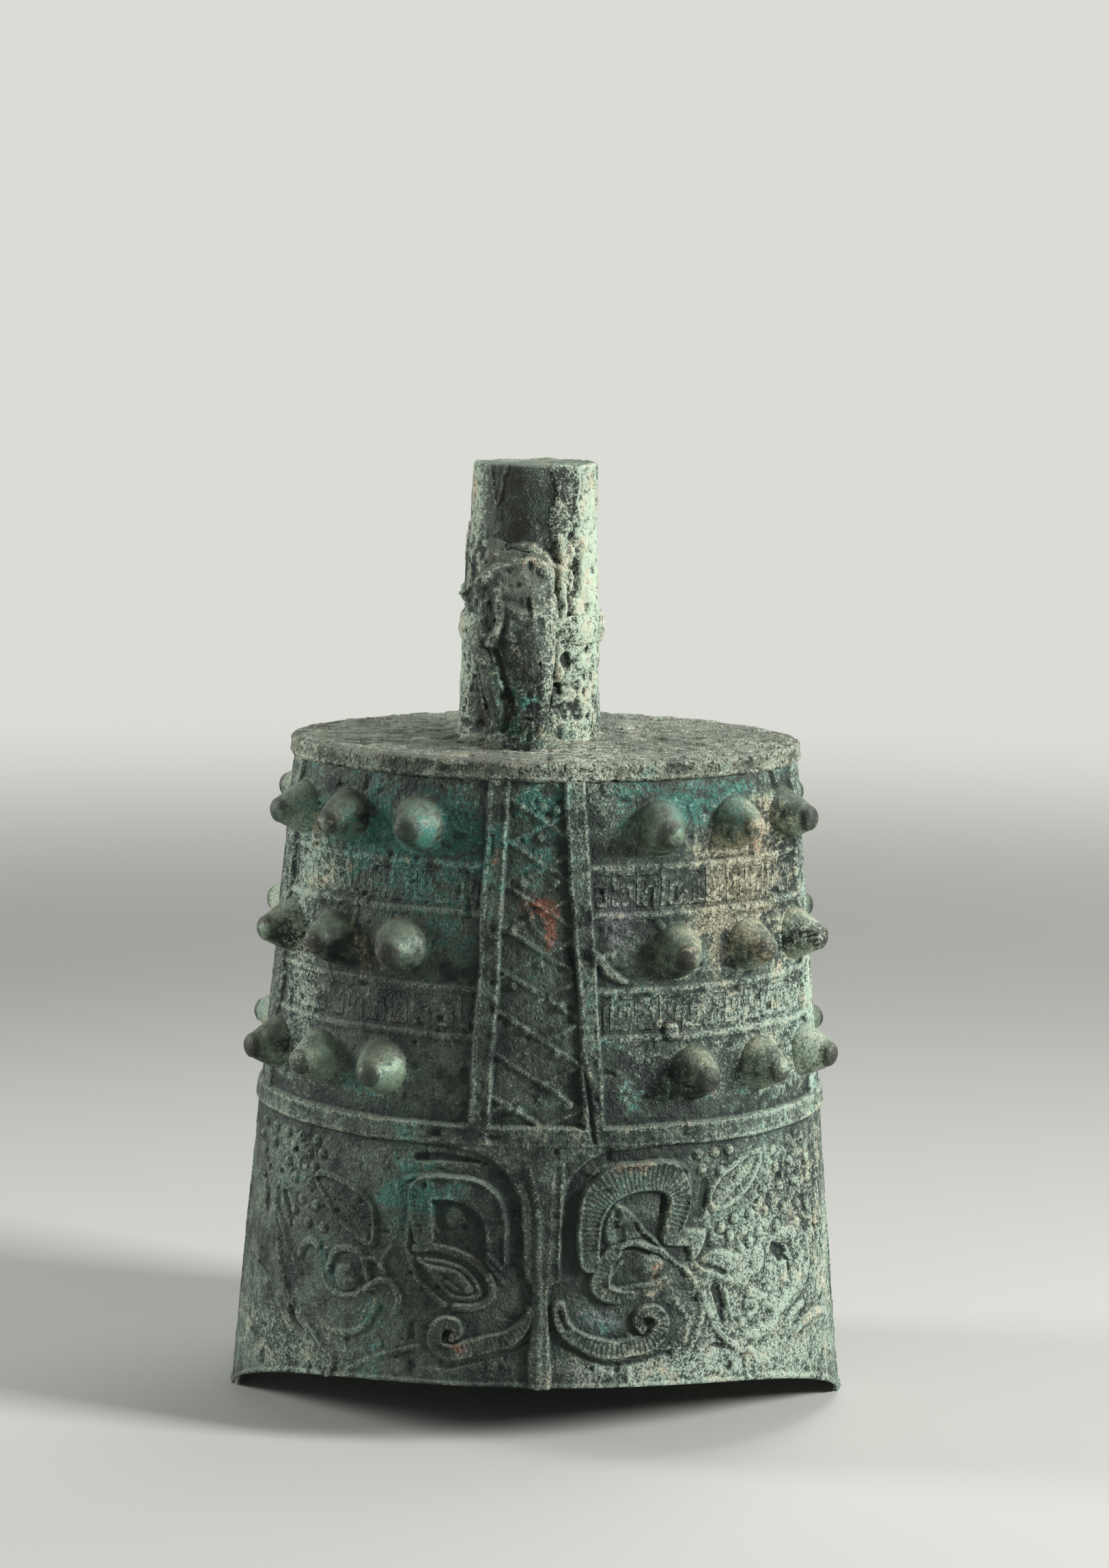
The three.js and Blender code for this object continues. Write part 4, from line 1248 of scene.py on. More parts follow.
    right_body: Sequence[Stroke] = (
        PLATE((63.4, 74.1), (65.1, 77.8), (70.7, 81.5), (80, 79.5), (85.3, 80.6), (91.3, 77.2), (90.4, 70),
            (86.1, 68.3), (83.8, 64.9), (76.8, 66.7), (70.9, 69.8), rise=2.1, soft=2.8),
        GROOVE((65.1, 76.1), (68.5, 74.6), (73.8, 71.6), width=2.6, rise=1.7),
        BAND((99, 82.5), (104.5, 80), (108.5, 75), (110, 69), (108.6, 62), (104, 56), (98, 52),
            width=(4, 8, 10, 10, 10, 8, 5), rise=2, soft=4.5),
        GROOVE((96.8, 77), (99.5, 74.4), (101.8, 70), (102.8, 67), width=5, rise=2.6, soft=2.6),
        LINE((111.3, 90.8), (112.7, 84.5), (112.8, 78.9), (110.2, 74.5), width=4),
        GROOVE((71.6, 65.3), (73.4, 60), (74.7, 54.3), (77.6, 49.3), (81.8, 44.7), (83.3, 41.6), width=3.6,
            rise=2.2, soft=1.8),
        LINE((75.6, 63.6), (77, 56.8), (78, 52.2), (81.6, 47), width=1.6, rise=1.3, soft=0.9),
        LINE((66.5, 64), (69, 56), (72, 49), (77.8, 42.8), (81.3, 40.3), width=2.6, rise=1.3),
        GROOVE((71.1, 42.6), (76.1, 40.7), (77.9, 35.4), (77.4, 32.1), rise=1.3),
        GROOVE((79.2, 57.9), (81.1, 51.5), (83.6, 44.3), (84.2, 39.7), (84.4, 31.9), (84.8, 25.6), width=1.1,
            rise=1.5, soft=0.8),
        LINE((86.6, 38.1), (89.1, 35.3), (90, 32.9)),
        BAND((82.9, 49.5), (85.9, 45), (92.5, 44.5), (97, 48.2), (96.4, 54), (91.1, 58.4), (86, 61.4),
            width=4.4, rise=1.7, soft=2.4),
        LINE((83.9, 58.2), (86.9, 57.6), (89.3, 54.8), (85.2, 51.8), width=1.6),
        BAND((109.3, 50.1), (105.4, 48.4), (103.6, 44), (106.4, 40.6), (112.6, 42.8), (117.4, 43),
            (121.1, 40.6), width=3.6, rise=1.5, soft=2.4),
        LINE((58, 76), (62, 70), (65, 64), (66, 57), (64, 48), (60, 41), width=2.4),
        LINE((55, 62), (60, 54), (59, 46), width=2.2, rise=0.8),
        GROOVE((113.6, 86.5), (115.6, 79.8), (117.2, 72.5), width=2.6, rise=1.7),
        GROOVE((120.2, 57.8), (119.5, 52.8), width=2.4, rise=1.5),
        GROOVE((116.1, 104.8), (117.8, 92.7), width=1.6, rise=1.1),
    )
    left_body: Sequence[Stroke] = (
        GROOVE((-114.4, 96.9), (-113.2, 90.8), (-113.7, 83.7), width=2.8, rise=2),
        LINE((-108.3, 96.2), (-108.5, 88.1), (-106.7, 81.4), (-103.8, 75.1), (-101.1, 69.8), (-98.3, 64.5),
            width=1.8, rise=1.9),
        LINE((-109.6, 88), (-108, 74), (-106, 64), (-103.6, 56.2), (-101, 51), width=1.8, rise=1.8),
        GROOVE((-105.5, 94.2), (-102.9, 86), (-100.7, 77.4), (-99.8, 72.7), width=3, rise=1.9),
        BAND((-98.4, 71.9), (-96.5, 76.8), (-93.3, 79), (-90.7, 77.8), width=3, rise=1.6),
        BAND((-86.6, 69), (-84.8, 74.9), (-82.3, 77.9), (-77.2, 79.2), (-73.4, 77.8), (-71, 75), (-69.6, 69),
            width=2.6, rise=1.6),
        LINE((-71.5, 75.6), (-67.1, 76.3), (-64.6, 73.6), (-63.3, 72.6), width=1.6, rise=1.1),
        BAND((-70.7, 64.1), (-65.2, 68), (-60.8, 68), (-58.3, 64.6), (-57, 60.5), (-58.2, 56.6), width=2.4,
            rise=1.4),
        LINE((-88.6, 66), (-86, 61.6), (-80, 59.6), (-73.6, 61.4), rise=1.1),
        GROOVE((-102.6, 48.9), (-101, 43.9), (-98, 41.1), width=2.6, rise=1.8),
        LINE((-107.6, 47.9), (-104, 42.8), (-101.4, 39.1), width=1.8, rise=1.1),
        LINE((-98.1, 47.6), (-93.1, 42.6), (-89.1, 37.2), (-84.2, 33.7), (-85.1, 28.9), (-87, 23.8),
            (-90.6, 21.2), width=1.6, rise=1.7, soft=0.9),
        LINE((-66, 58), (-70, 50), (-77, 45), (-84, 44), width=2.4),
        LINE((-78.4, 29.4), (-69.1, 35.7), (-59.8, 39.8), (-48.7, 43.3), width=1.8, rise=0.8),
        GROOVE((-116.9, 60), (-112.5, 56.9), width=2.2, rise=1.3),
        GROOVE((-123, 67), (-123.6, 62), width=1.6),
        LINE((-60, 82), (-64, 76), (-63, 71), rise=0.9),
    )
    studs: Sequence[Point] = (
        (63, 121), (70, 121), (76, 121.5), (65, 114.6), (73, 113), (95, 117.7), (102, 120), (108, 118),
        (97, 110.3), (103, 110.7), (109.7, 109.6), (115.4, 107), (105, 102.7), (111.5, 101.5), (98.6, 102),
        (91, 102.2), (106.6, 92.7), (100.3, 93.2), (92.3, 93.6), (85.4, 93.8), (78.6, 93), (73.2, 90),
        (77, 86.4), (82.5, 87.4), (89.4, 85.7), (97.6, 86.4), (106.4, 84.7), (81.5, 80.9), (85.3, 82.4),
        (-114, 120), (-109.5, 120), (-104, 120), (-98, 120), (-91.5, 120), (-115.5, 113.5), (-110, 113.5),
        (-94.8, 114.1), (-89, 114.9), (-103.7, 107.9), (-97, 108.5), (-92.8, 108.8), (-100.9, 102.7),
        (-94.3, 101.6), (-97.8, 94.7), (-100.7, 89.4), (-92.2, 93.5), (-95.4, 85.8), (-88.8, 85.7))
    dots: Sequence[Point] = (
        (-106.7, 102.4), (-112.3, 101.5), (-101.1, 113.1), (-114.3, 106.8), (99, 106), (88, 98))

    def draw(self, canvas: Canvas) -> None:
        """Draws the whole mask.

        Args:
            canvas: The face that it is drawn on.
        """
        for part in (self.nose, self.right_horn, self.left_horn, self.eyes, self.trunks, self.ears,
                     self.right_body, self.left_body):
            canvas.draw(part)
        canvas.studs(self.studs, 2.15, 1.8)
        canvas.studs(self.dots, 1.5, -1.4)
        canvas.studs([(-79, 67.4)], 5.4, 2.0)
        canvas.studs([(35.8, 49)], 1.7, 0.9)


@dataclass(frozen=True)
class PanelWork:
    """Everything raised above the band: ridges, ornament strips, the centre panel's lattice and the seam.

    Attributes:
        ridge_rise: Height of the band and the ridges.
        line_rise: Height of the strips' borders and the lattice.
        side_place: Where the outer ridges run, as a share of the half width.
        side_width: Their width.
        strip_middles: Heights of the ornament strips.
        strip_half: Half height of a strip.
        lattice_pitch: Distance between the lattice's lines.
        lattice_slope: Their slope.
        studs: The lattice's knobs.
    """

    ridge_rise: float = 2.2
    line_rise: float = 1.0
    side_place: float = 0.965
    side_width: float = 3.5
    strip_middles: tuple[float, float] = (179.25, 228.75)
    strip_half: float = 9.6
    lattice_pitch: float = 17.5
    lattice_slope: float = 0.62
    studs: Sequence[Point] = (
        (-13, 191), (-13, 213), (-8, 173), (0, 151), (-10, 141), (5, 164), (6, 183), (-2, 200), (4, 232),
        (-9, 232), (-3, 250), (4, 262), (-10, 262), (10, 143))

    def draw(self, canvas: Canvas) -> None:
        """Draws the panels.

        Args:
            canvas: The face that they are drawn on.
        """
        z = canvas.up
        wide, reach = FORM.half_width(z), FORM.mouth.half_width + 0 * z
        canvas.bar(-reach, reach, (FORM.band_bottom, FORM.band_top), self.ridge_rise, 0.45)
        ends = FORM.band_top - 2, FORM.wall_top + 3
        for side in (-1, 1):
            inner, outer = (FORM.from_centre(side * (FORM.panel_half(z) + out), z) for out in (0, FORM.ridge))
            canvas.bar(np.minimum(inner, outer), np.maximum(inner, outer), ends, self.ridge_rise, 0.5)
            middle = side * self.side_place * wide
            canvas.bar(middle - self.side_width / 2, middle + self.side_width / 2, ends, self.ridge_rise * 0.9)
            for level in (m + e * self.strip_half for m in self.strip_middles for e in (-1, 1)):
                start = float(FORM.from_centre(side * (FORM.panel_half(level) + FORM.ridge), level))
                xs = np.linspace(start, side * self.side_place * float(FORM.half_width(level)), 7)
                canvas.draw([BAND(*((x, level) for x in xs), width=2.2, rise=self.line_rise, soft=1.3)])
        self.lattice(canvas)
        canvas.bar(-wide, 0.15 - wide, (0, FORM.wall_top), 0.8, soft=1.8)
        canvas.bar(wide - 0.15, wide, (0, FORM.wall_top), 0.8, soft=1.8)

    def lattice(self, canvas: Canvas) -> None:
        """Draws the centre panel's crossing lines and studs.

        Args:
            canvas: The face; what is drawn past the panel's edges is left off it.
        """
        fresh = copy(canvas)
        fresh.rise = np.zeros_like(canvas.rise)
        middle = (FORM.band_top + FORM.wall_top) / 2
        reach = FORM.panel_bottom + 3
        for k in range(-4, 5):
            z = middle + k * self.lattice_pitch
            fall, climb = self.lattice_slope * reach, 0.85 * self.lattice_slope * reach
            fresh.draw([BAND((-reach, z + fall), (reach, z - fall), width=1.6, rise=self.line_rise),
                        BAND((-reach, z - climb), (reach, z + climb), width=1.5, rise=0.85 * self.line_rise)])
        fresh.studs(self.studs, 1.9, 1.5)
        left, right = (FORM.along(FORM.from_centre(side * FORM.panel_half(canvas.up), canvas.up), canvas.up)
                       for side in (-1, 1))
        inside = (canvas.across > left) & (canvas.across < right) & (canvas.up > FORM.band_top) & (
            canvas.up < FORM.wall_top)
        canvas.rise = np.where(inside, np.maximum(canvas.rise, fresh.rise), canvas.rise)


# Bosses


@dataclass(frozen=True)
class BossSpot:
    """Where one boss stands: the end of its node's name, its place across and its height."""

    name: str
    across: float
    z: float

    def axis(self, side: float) -> tuple[Array, Array]:
        """A boss's place on the wall and its direction.

        Args:
            side: -1 for the front and 1 for the back.

        Returns:
            The point where the axis meets the wall, and the unit direction outwards.
        """
        share = float(FORM.leaning(self.across, self.z))
        step = 1e-3
        near = FORM.at(np.array([share - step, share, share + step]), -1.0, np.full(3, self.z))
        run = near[2] - near[0]
        turn = math.atan2(-run[1], run[0]) * BossSet.FAN
        direction = np.array([-math.sin(turn), -math.cos(turn), 0.0])
        mirror = np.array([1.0, -side, 1.0])
        return near[1] * mirror, direction * mirror


@dataclass
class BossSet:
    """The thirty-six bosses: hollow-sided cones with rounded ends, three rows of three in each panel.

    Attributes:
        length: Length out of the wall.
        radius: Radius at the wall.
        tip: Radius where the rounded end begins.
        swell: 1 for a straight cone, more for a rounder one.
        nub: Length of the rounded end.
        sides: Points round each boss.
        rows: Heights of the three rows.
    """

    FAN = 0.92  # share of the wall's own turn that a boss follows
    COLUMNS = {"inner": (0.54, 0.45), "middle": (0.768, 0.731), "outer": (0.933, 0.917)}

    length: float = 16.8
    radius: float = 11.2
    tip: float = 5.2
    swell: float = 1.2
    nub: float = 3.2
    sides: int = 48
    rows: tuple[float, float, float] = (154.5, 204.0, 253.5)

    def spots(self) -> list[BossSpot]:
        """Every boss of one face."""
        return [BossSpot(f"{side}_{level}_{column}", sign * lerp(low, high, row / 2), z)
                for row, (level, z) in enumerate(zip(("lower", "middle", "upper"), self.rows))
                for column, (low, high) in self.COLUMNS.items() for side, sign in (("left", -1), ("right", 1))]

    def profile(self) -> Array:
        """The boss's outline.

        Returns:
            Radius and height of each ring from the root, inside the wall, to the end.
        """
        cone = self.length - self.nub
        share = np.linspace(0, 1, 20)
        side = np.stack([lerp(self.radius, self.tip, share ** self.swell), lerp(1.0, cone, share)], axis=1)
        turn = np.linspace(0.12, 0.97, 9) * math.pi / 2
        dome = np.stack([self.tip * np.cos(turn), cone + self.nub * np.sin(turn)], axis=1)
        root = np.array([[1.2, -6.0], [0.9, -1.0], [0.3, 0.2]]) + np.array([self.radius, 0])
        return np.vstack([root, side, dome])

    def build(self) -> None:
        """Makes, dresses and places every boss on both faces."""
        for face, side in (("front", -1.0), ("back", 1.0)):
            for index, spot in enumerate(self.spots()):
                self.boss(f"boss_{face}_{spot.name}", spot, side, 31 * index + int(side))

    def boss(self, name: str, spot: BossSpot, side: float, seed: int) -> None:
        """Makes one boss.

        Args:
            name: The CAD node that it stands for.
            spot: Where it stands.
            side: -1 on the front, 1 on the back.
            seed: Makes its rough, pitted surface and its painted shade its own.
        """
        foot, direction = spot.axis(side)
        level = np.array([0.0, 0.0, 1.0])
        outline = self.profile()
        turn = np.linspace(0, 2 * math.pi, self.sides, endpoint=False)
        ring = np.cos(turn)[:, None] * np.cross(level, direction) + np.sin(turn)[:, None] * level
        grid = foot + outline[:, None, :1] * ring[None] + outline[:, None, 1:] * direction
        wear_and_shade, up = Grain(seed % 97 + 3), outline[:, 1:]
        rough = 0.14 * wear_and_shade.rough(grid, 7, 3) - 0.4 * wear_and_shade.pocks(grid, 4, 0.78, 0.92)
        # Painted shade: the end of each boss is darkened in patches, laid into the dark skin stain's values.
        dark = 0.9 * ease(up, self.length - 6, self.length - 2) * wear_and_shade.pocks(grid, 6, 0.15, 0.5)
        skin = Skin(grid)
        skin.push(rough * ease(up, -0.5, 2.0))
        # Painted shade: the boss's foot is darkened where it meets the wall.
        skin.values = {"hollow": 0.6 * (1 - ease(up, 0.0, 3.5)) + 0 * rough, **stains(skin.grid)}
        skin.values["skin"] = np.maximum(skin.values["skin"], dark)
        skin.place(f"{name}_cone", Finish.BOSS, name, "boss_bronze")


@dataclass
class BellWall:
    """The resonating wall: panels and mask on both faces, an arched lip, and a plain inside.

    Attributes:
        half_columns: Mesh points across one face.
        lower_rows: Rows from the mouth to the top of the band.
        upper_rows: Rows from there to the crown.
        inner_rows: Rows inside.
        lip_round: How far the lip is rounded.
        accidents: The casting's lumps, cracks and runs; the back repeats the front's.
    """

    half_columns: int = 540
    lower_rows: int = 208
    upper_rows: int = 186
    inner_rows: int = 34
    lip_round: float = 1.2
    accidents: Sequence[Stroke] = (
        LINE((18, 205), (22, 201), (25.5, 196.5), (32, 193), width=(2, 3.4, 3.6, 2), rise=2.6, soft=1.4),
        LINE((20, 200), (24, 203), (27, 203), rise=1.6),
        GROOVE((9.5, 206), (12, 192), (13.5, 178), (14.5, 166), (16, 157), (18, 147), (19.5, 137), (21, 128),
            width=1.5, rise=1.3, soft=1),
        LINE((-9, 226), (-7, 219), (-4, 213), (2, 208), rise=0.8),
        LINE((44, 218), (48, 212), (50, 206), width=2.6, rise=1.2),
        GROOVE((92, 272), (94, 265), (98, 259), width=2.6, rise=1.6),
        LINE((-78, 246), (-80, 232), (-76, 220), (-78, 206), width=1.8, rise=0.7),
        LINE((60, 196), (75, 194.5), (90, 196), width=2.2, rise=0.9),
        LINE((-98, 214), (-90, 198), (-86, 186), rise=0.7),
    )

    def build(self) -> None:
        """Makes, dresses and places the wall."""
        share, side = FORM.round_both(self.half_columns)
        outer = FORM.at(share[None], side[None], self.outer_heights(share))
        skin = Skin(self.woven(share, side, outer), ringed=True)
        rows = len(outer)
        canvas = self.drawing()
        relief = both_faces(canvas.value("rise")) * (0.86 + 0.14 * Grain(8).rough(outer, 14, 2))
        stain = stains(skin.grid)
        height = self.corrosion(skin.grid, stain[Stain.EARTH.value], rows)
        height[:rows] += relief + self.collars(outer)
        skin.values = {**worn(height, 4), **stain}
        # Painted shade: the whole inside is darkened evenly.
        skin.values["hollow"][rows:] = 0.35
        outside = {name: both_faces(canvas.value(source))
                   for name, source in (("hatch", "hatch"), ("phase", "phase"), ("strip_run", "across"))}
        inside = np.zeros((len(height) - rows, len(share)))
        for name, value in (outside | self.strips(outer)).items():
            skin.values[name] = np.vstack([value, inside])
        skin.push(height)
        skin.place("wall_with_raised_work", Finish.WALL, "bell_wall", "wall_bronze")

    def drawing(self) -> Canvas:
        """Draws one face's raised work.

        Returns:
            A canvas with the points of the front's mesh.
        """
        face = FORM.face(self.half_columns)
        z = self.outer_heights(face)
        canvas = Canvas(face[None] * FORM.half_width(z), z, FORM.along)
        PanelWork().draw(canvas)
        BeastMask().draw(canvas)
        self.lip_line(canvas, face)
        canvas.draw(self.accidents)
        canvas.studs([(51, 172)], 3.6, 2.6)
        canvas.studs([(46, 175)], 2.0, 1.0)
        return canvas

    def outer_heights(self, share: Array) -> Array:
        """Heights of the outside's rows, which follow the lip at the mouth and lie level above the band.

        Args:
            share: Places across of the columns.

        Returns:
            Heights, rows by columns.
        """
        lip = FORM.lip(share) + self.lip_round
        low = np.linspace(0, 1, self.lower_rows, endpoint=False)[:, None]
        lower = lerp(lip[None], FORM.band_top, low)
        upper = np.linspace(FORM.band_top, FORM.wall_top - 0.2, self.upper_rows)[:, None] + 0 * lip[None]
        return np.vstack([lower, upper])

    def woven(self, share: Array, side: Array, outer: Array) -> Array:
        """Every row of the wall, from the lip up the outside, over the top, down the inside and round the lip.

        Args:
            share: Places across of the columns.
            side: -1 for columns of the front, 1 for those of the back.
            outer: The outside's rows.

        Returns:
            Points as rows by columns by three.
        """
        top = [FORM.at(share, side, FORM.wall_top + 0 * share, -FORM.wall * f) for f in (0.03, 0.5, 0.97)]
        lip = FORM.lip(share, -FORM.wall) + self.lip_round
        inner = [FORM.at(share, side, lerp(FORM.wall_top - 0.2, lip, f), -FORM.wall)
                 for f in np.linspace(0, 1, self.inner_rows)]
        under = []
        for f in (0.93, 0.8, 0.6, 0.4, 0.2, 0.07):
            sag = self.lip_round * (1 - math.sin(math.pi * f) ** 0.35)
            under.append(FORM.at(share, side, FORM.lip(share, -FORM.wall * f) + sag, -FORM.wall * f))
        return np.concatenate([outer, np.stack(top), np.stack(inner), np.stack(under)])

    def lip_line(self, canvas: Canvas, face: Array) -> None:
        """Adds the thin raised line that follows the mouth, thicker at the right.

        Args:
            canvas: The face.
            face: Places across of its columns.
        """
        share = canvas.across / canvas.across.max()
        over = canvas.up - np.interp(share, np.linspace(-1, 1, len(face)), FORM.lip(face))
        thick = np.where(share > 0.52, 1.7, 1.0)
        canvas.rise += (0.7 + 0.3 * thick) * mound(over - 1.3, thick)

    def collars(self, outer: Array) -> Array:
        """Soft fillets where the bosses meet the wall.

        Args:
            outer: The outside's rows.

        Returns:
            Height to add at every point.
        """
        extra = np.zeros(outer.shape[:2])
        bosses = BossSet()
        for side in (-1.0, 1.0):
            for spot in bosses.spots():
                foot, direction = spot.axis(side)
                away = outer - foot
                apart = np.linalg.norm(np.cross(away, direction), axis=2)
                near = (np.abs(away @ direction) < 16) & (apart < bosses.radius + 9)
                extra = np.maximum(extra, np.where(near, 1.7 * fillet(apart - bosses.radius + 0.6, 1.9), 0))
        return extra

    def corrosion(self, grid: Array, earth: Array, rows: int) -> Array:
        """The casting's unevenness, its grain, its pits and the crust of earth.

        Args:
            grid: The wall's points.
            earth: How strongly earth lies on them.
            rows: How many rows are outside.

        Returns:
            Height to add at every point.
        """
        noise = Grain(11)
        height = 0.35 * noise.rough(grid, 46, 2) + 0.28 * noise.rough(grid, 6.5, 4, 0.72)
        height -= 0.9 * noise.pocks(grid, 5.2, 0.78, 0.94)
        height -= 0.5 * noise.pocks(grid + 300, 2.6, 0.80, 0.94)
        busy = 0.10 * ease(np.abs(grid[..., 0]), 50, 75) * ease(grid[..., 2], 134, 118)
        height += np.maximum(earth, busy) * (1.6 * Grain(12).crests(grid, 7, 4) - 0.6)
        height[rows:] *= 0.5
        return height

    def strips(self, outer: Array) -> dict[str, Array]:
        """Where the ornament strips lie and how high each point is in its strip.

        Args:
            outer: The outside's rows.

        Returns:
            The values "strip" and "strip_up".
        """
        work = PanelWork()
        x, z = outer[..., 0], outer[..., 2]
        reach = work.side_place * FORM.half_width(z) - work.side_width / 2 - 1
        start = FORM.panel_half(z) + FORM.ridge + 1
        left, right = FORM.from_centre(-start, z), FORM.from_centre(start, z)
        aside = np.maximum(ease(x, right, right + 1), 0.6 * ease(x, left, left - 1))
        aside = aside * ease(np.abs(x), reach, reach - 1)
        strip, up = np.zeros((2, *z.shape))
        for middle in work.strip_middles:
            apart = z - middle
            here = ease(np.abs(apart), work.strip_half - 1.2, work.strip_half - 2.2)
            strip = np.maximum(strip, here * aside)
            up = np.where(np.abs(apart) < 20, apart, up)
        return {"strip": strip, "strip_up": up}


# Crown, shank, ring and loop


@dataclass(frozen=True)
class Axis:
    """The shank's leaning axis, and its radius."""

    offset: float = -7.5
    lean: float = math.tan(math.radians(0.7))
    length: float = 114
    foot: float = 29
    head: float = 25

    def radius(self, z: Array | float) -> Array | float:
        """The shank's radius at a height above the crown."""
        return lerp(self.foot, self.head, z / self.length)

    def middle(self, z: Array | float) -> Array | float:
        """The axis's place across at a height above the crown."""
        return self.offset + self.lean * z

    def around(self, x: Array, z: Array) -> Array:
        """Distance round the shank from its front to a place across, at a height above the standing plane."""
        up = np.clip(z - FORM.height, 0, self.length)
        reach = self.radius(up)
        return reach * np.arcsin(np.clip((x - self.middle(up)) / reach, -1, 1))

    def rings(self, outline: Sequence[Point] | Array, columns: int) -> Array:
        """Rings round the axis.

        Args:
            outline: Radius and height above the crown of each row.
            columns: Points in each ring.

        Returns:
            Points as rows by columns by three.
        """
        turn = np.linspace(0, 2 * math.pi, columns, endpoint=False)
        radius, z = np.array(outline).T[..., None]
        x = self.middle(z) + radius * np.cos(turn)
        return np.stack([x, radius * np.sin(turn), FORM.height + z + 0 * x], axis=2)


AXIS = Axis()


@dataclass
class CrownPlate:
    """The flat crown: a band round its rim, and a chalky top with a fillet round the shank.

    Attributes:
        half_columns: Mesh points across one face.
        proud: How far the rim stands out of the wall.
        top_rows: Rows from the rim to the middle on top.
    """

    half_columns: int = 260
    proud: float = 2.2
    top_rows: int = 84

    def build(self) -> None:
        """Makes, dresses and places the crown."""
        table = [(FORM.wall_top, self.proud - 0.4, f) for f in np.linspace(0.02, 0.99, 12)]
        for z in np.linspace(FORM.wall_top, FORM.height, 15):
            corner = min(z - FORM.wall_top, FORM.height - z)
            table.append((z, self.proud - 0.7 * max(1 - corner / 0.8, 0), 1.0))
        first_top = len(table)
        inwards = 1 - np.linspace(0.004, 0.98, self.top_rows) ** 1.1
        table += [(FORM.height, self.proud - 0.7, f) for f in inwards]
        z, margin, scale = np.array(table).T[..., None]
        share, side = FORM.round_both(self.half_columns)
        rim = FORM.at(share, side, z + 0 * share, margin)
        middle = np.stack([AXIS.offset + 0 * z, 0 * z, z], axis=2)
        skin = Skin(lerp(middle, rim, scale[..., None]))
        skin.weather(self.weathering(skin.grid, first_top), 4)
        skin.place("crown_with_rim_band", Finish.CROWN, "crown_plate", "crown_bronze")

    def weathering(self, grid: Array, first_top: int) -> Array:
        """Grain, flaking and the fillet round the shank.

        Args:
            grid: The plate's points.
            first_top: The first row of the upper face.

        Returns:
            Height to add at every point.
        """
        noise = Grain(21)
        z = grid[..., 2]
        top = (np.arange(len(grid)) >= first_top + 2)[:, None] * 1.0
        height = 0.25 * noise.rough(grid, 30, 2) + 0.22 * noise.rough(grid, 5, 3, 0.6)
        height -= 0.6 * noise.pocks(grid, 4.4, 0.76, 0.92)
        flakes = noise.crests(grid * np.array([0.6, 1.4, 1.0]), 9, 4)
        height += top * (1.1 * ease(flakes, 0.55, 0.75) - 0.3)
        near = fillet(np.hypot(grid[..., 0] - AXIS.offset, grid[..., 1]) - AXIS.foot, 3.2)
        height += top * near * (2.0 + 1.2 * noise.rough(grid, 8, 3))
        band = ease(z, FORM.wall_top + 0.4, FORM.wall_top + 1.4) * (1 - top)
        edge = mound(z - FORM.wall_top - 1.4, 0.8) + mound(z - FORM.height + 1.6, 0.8)
        return height + 0.35 * band * edge


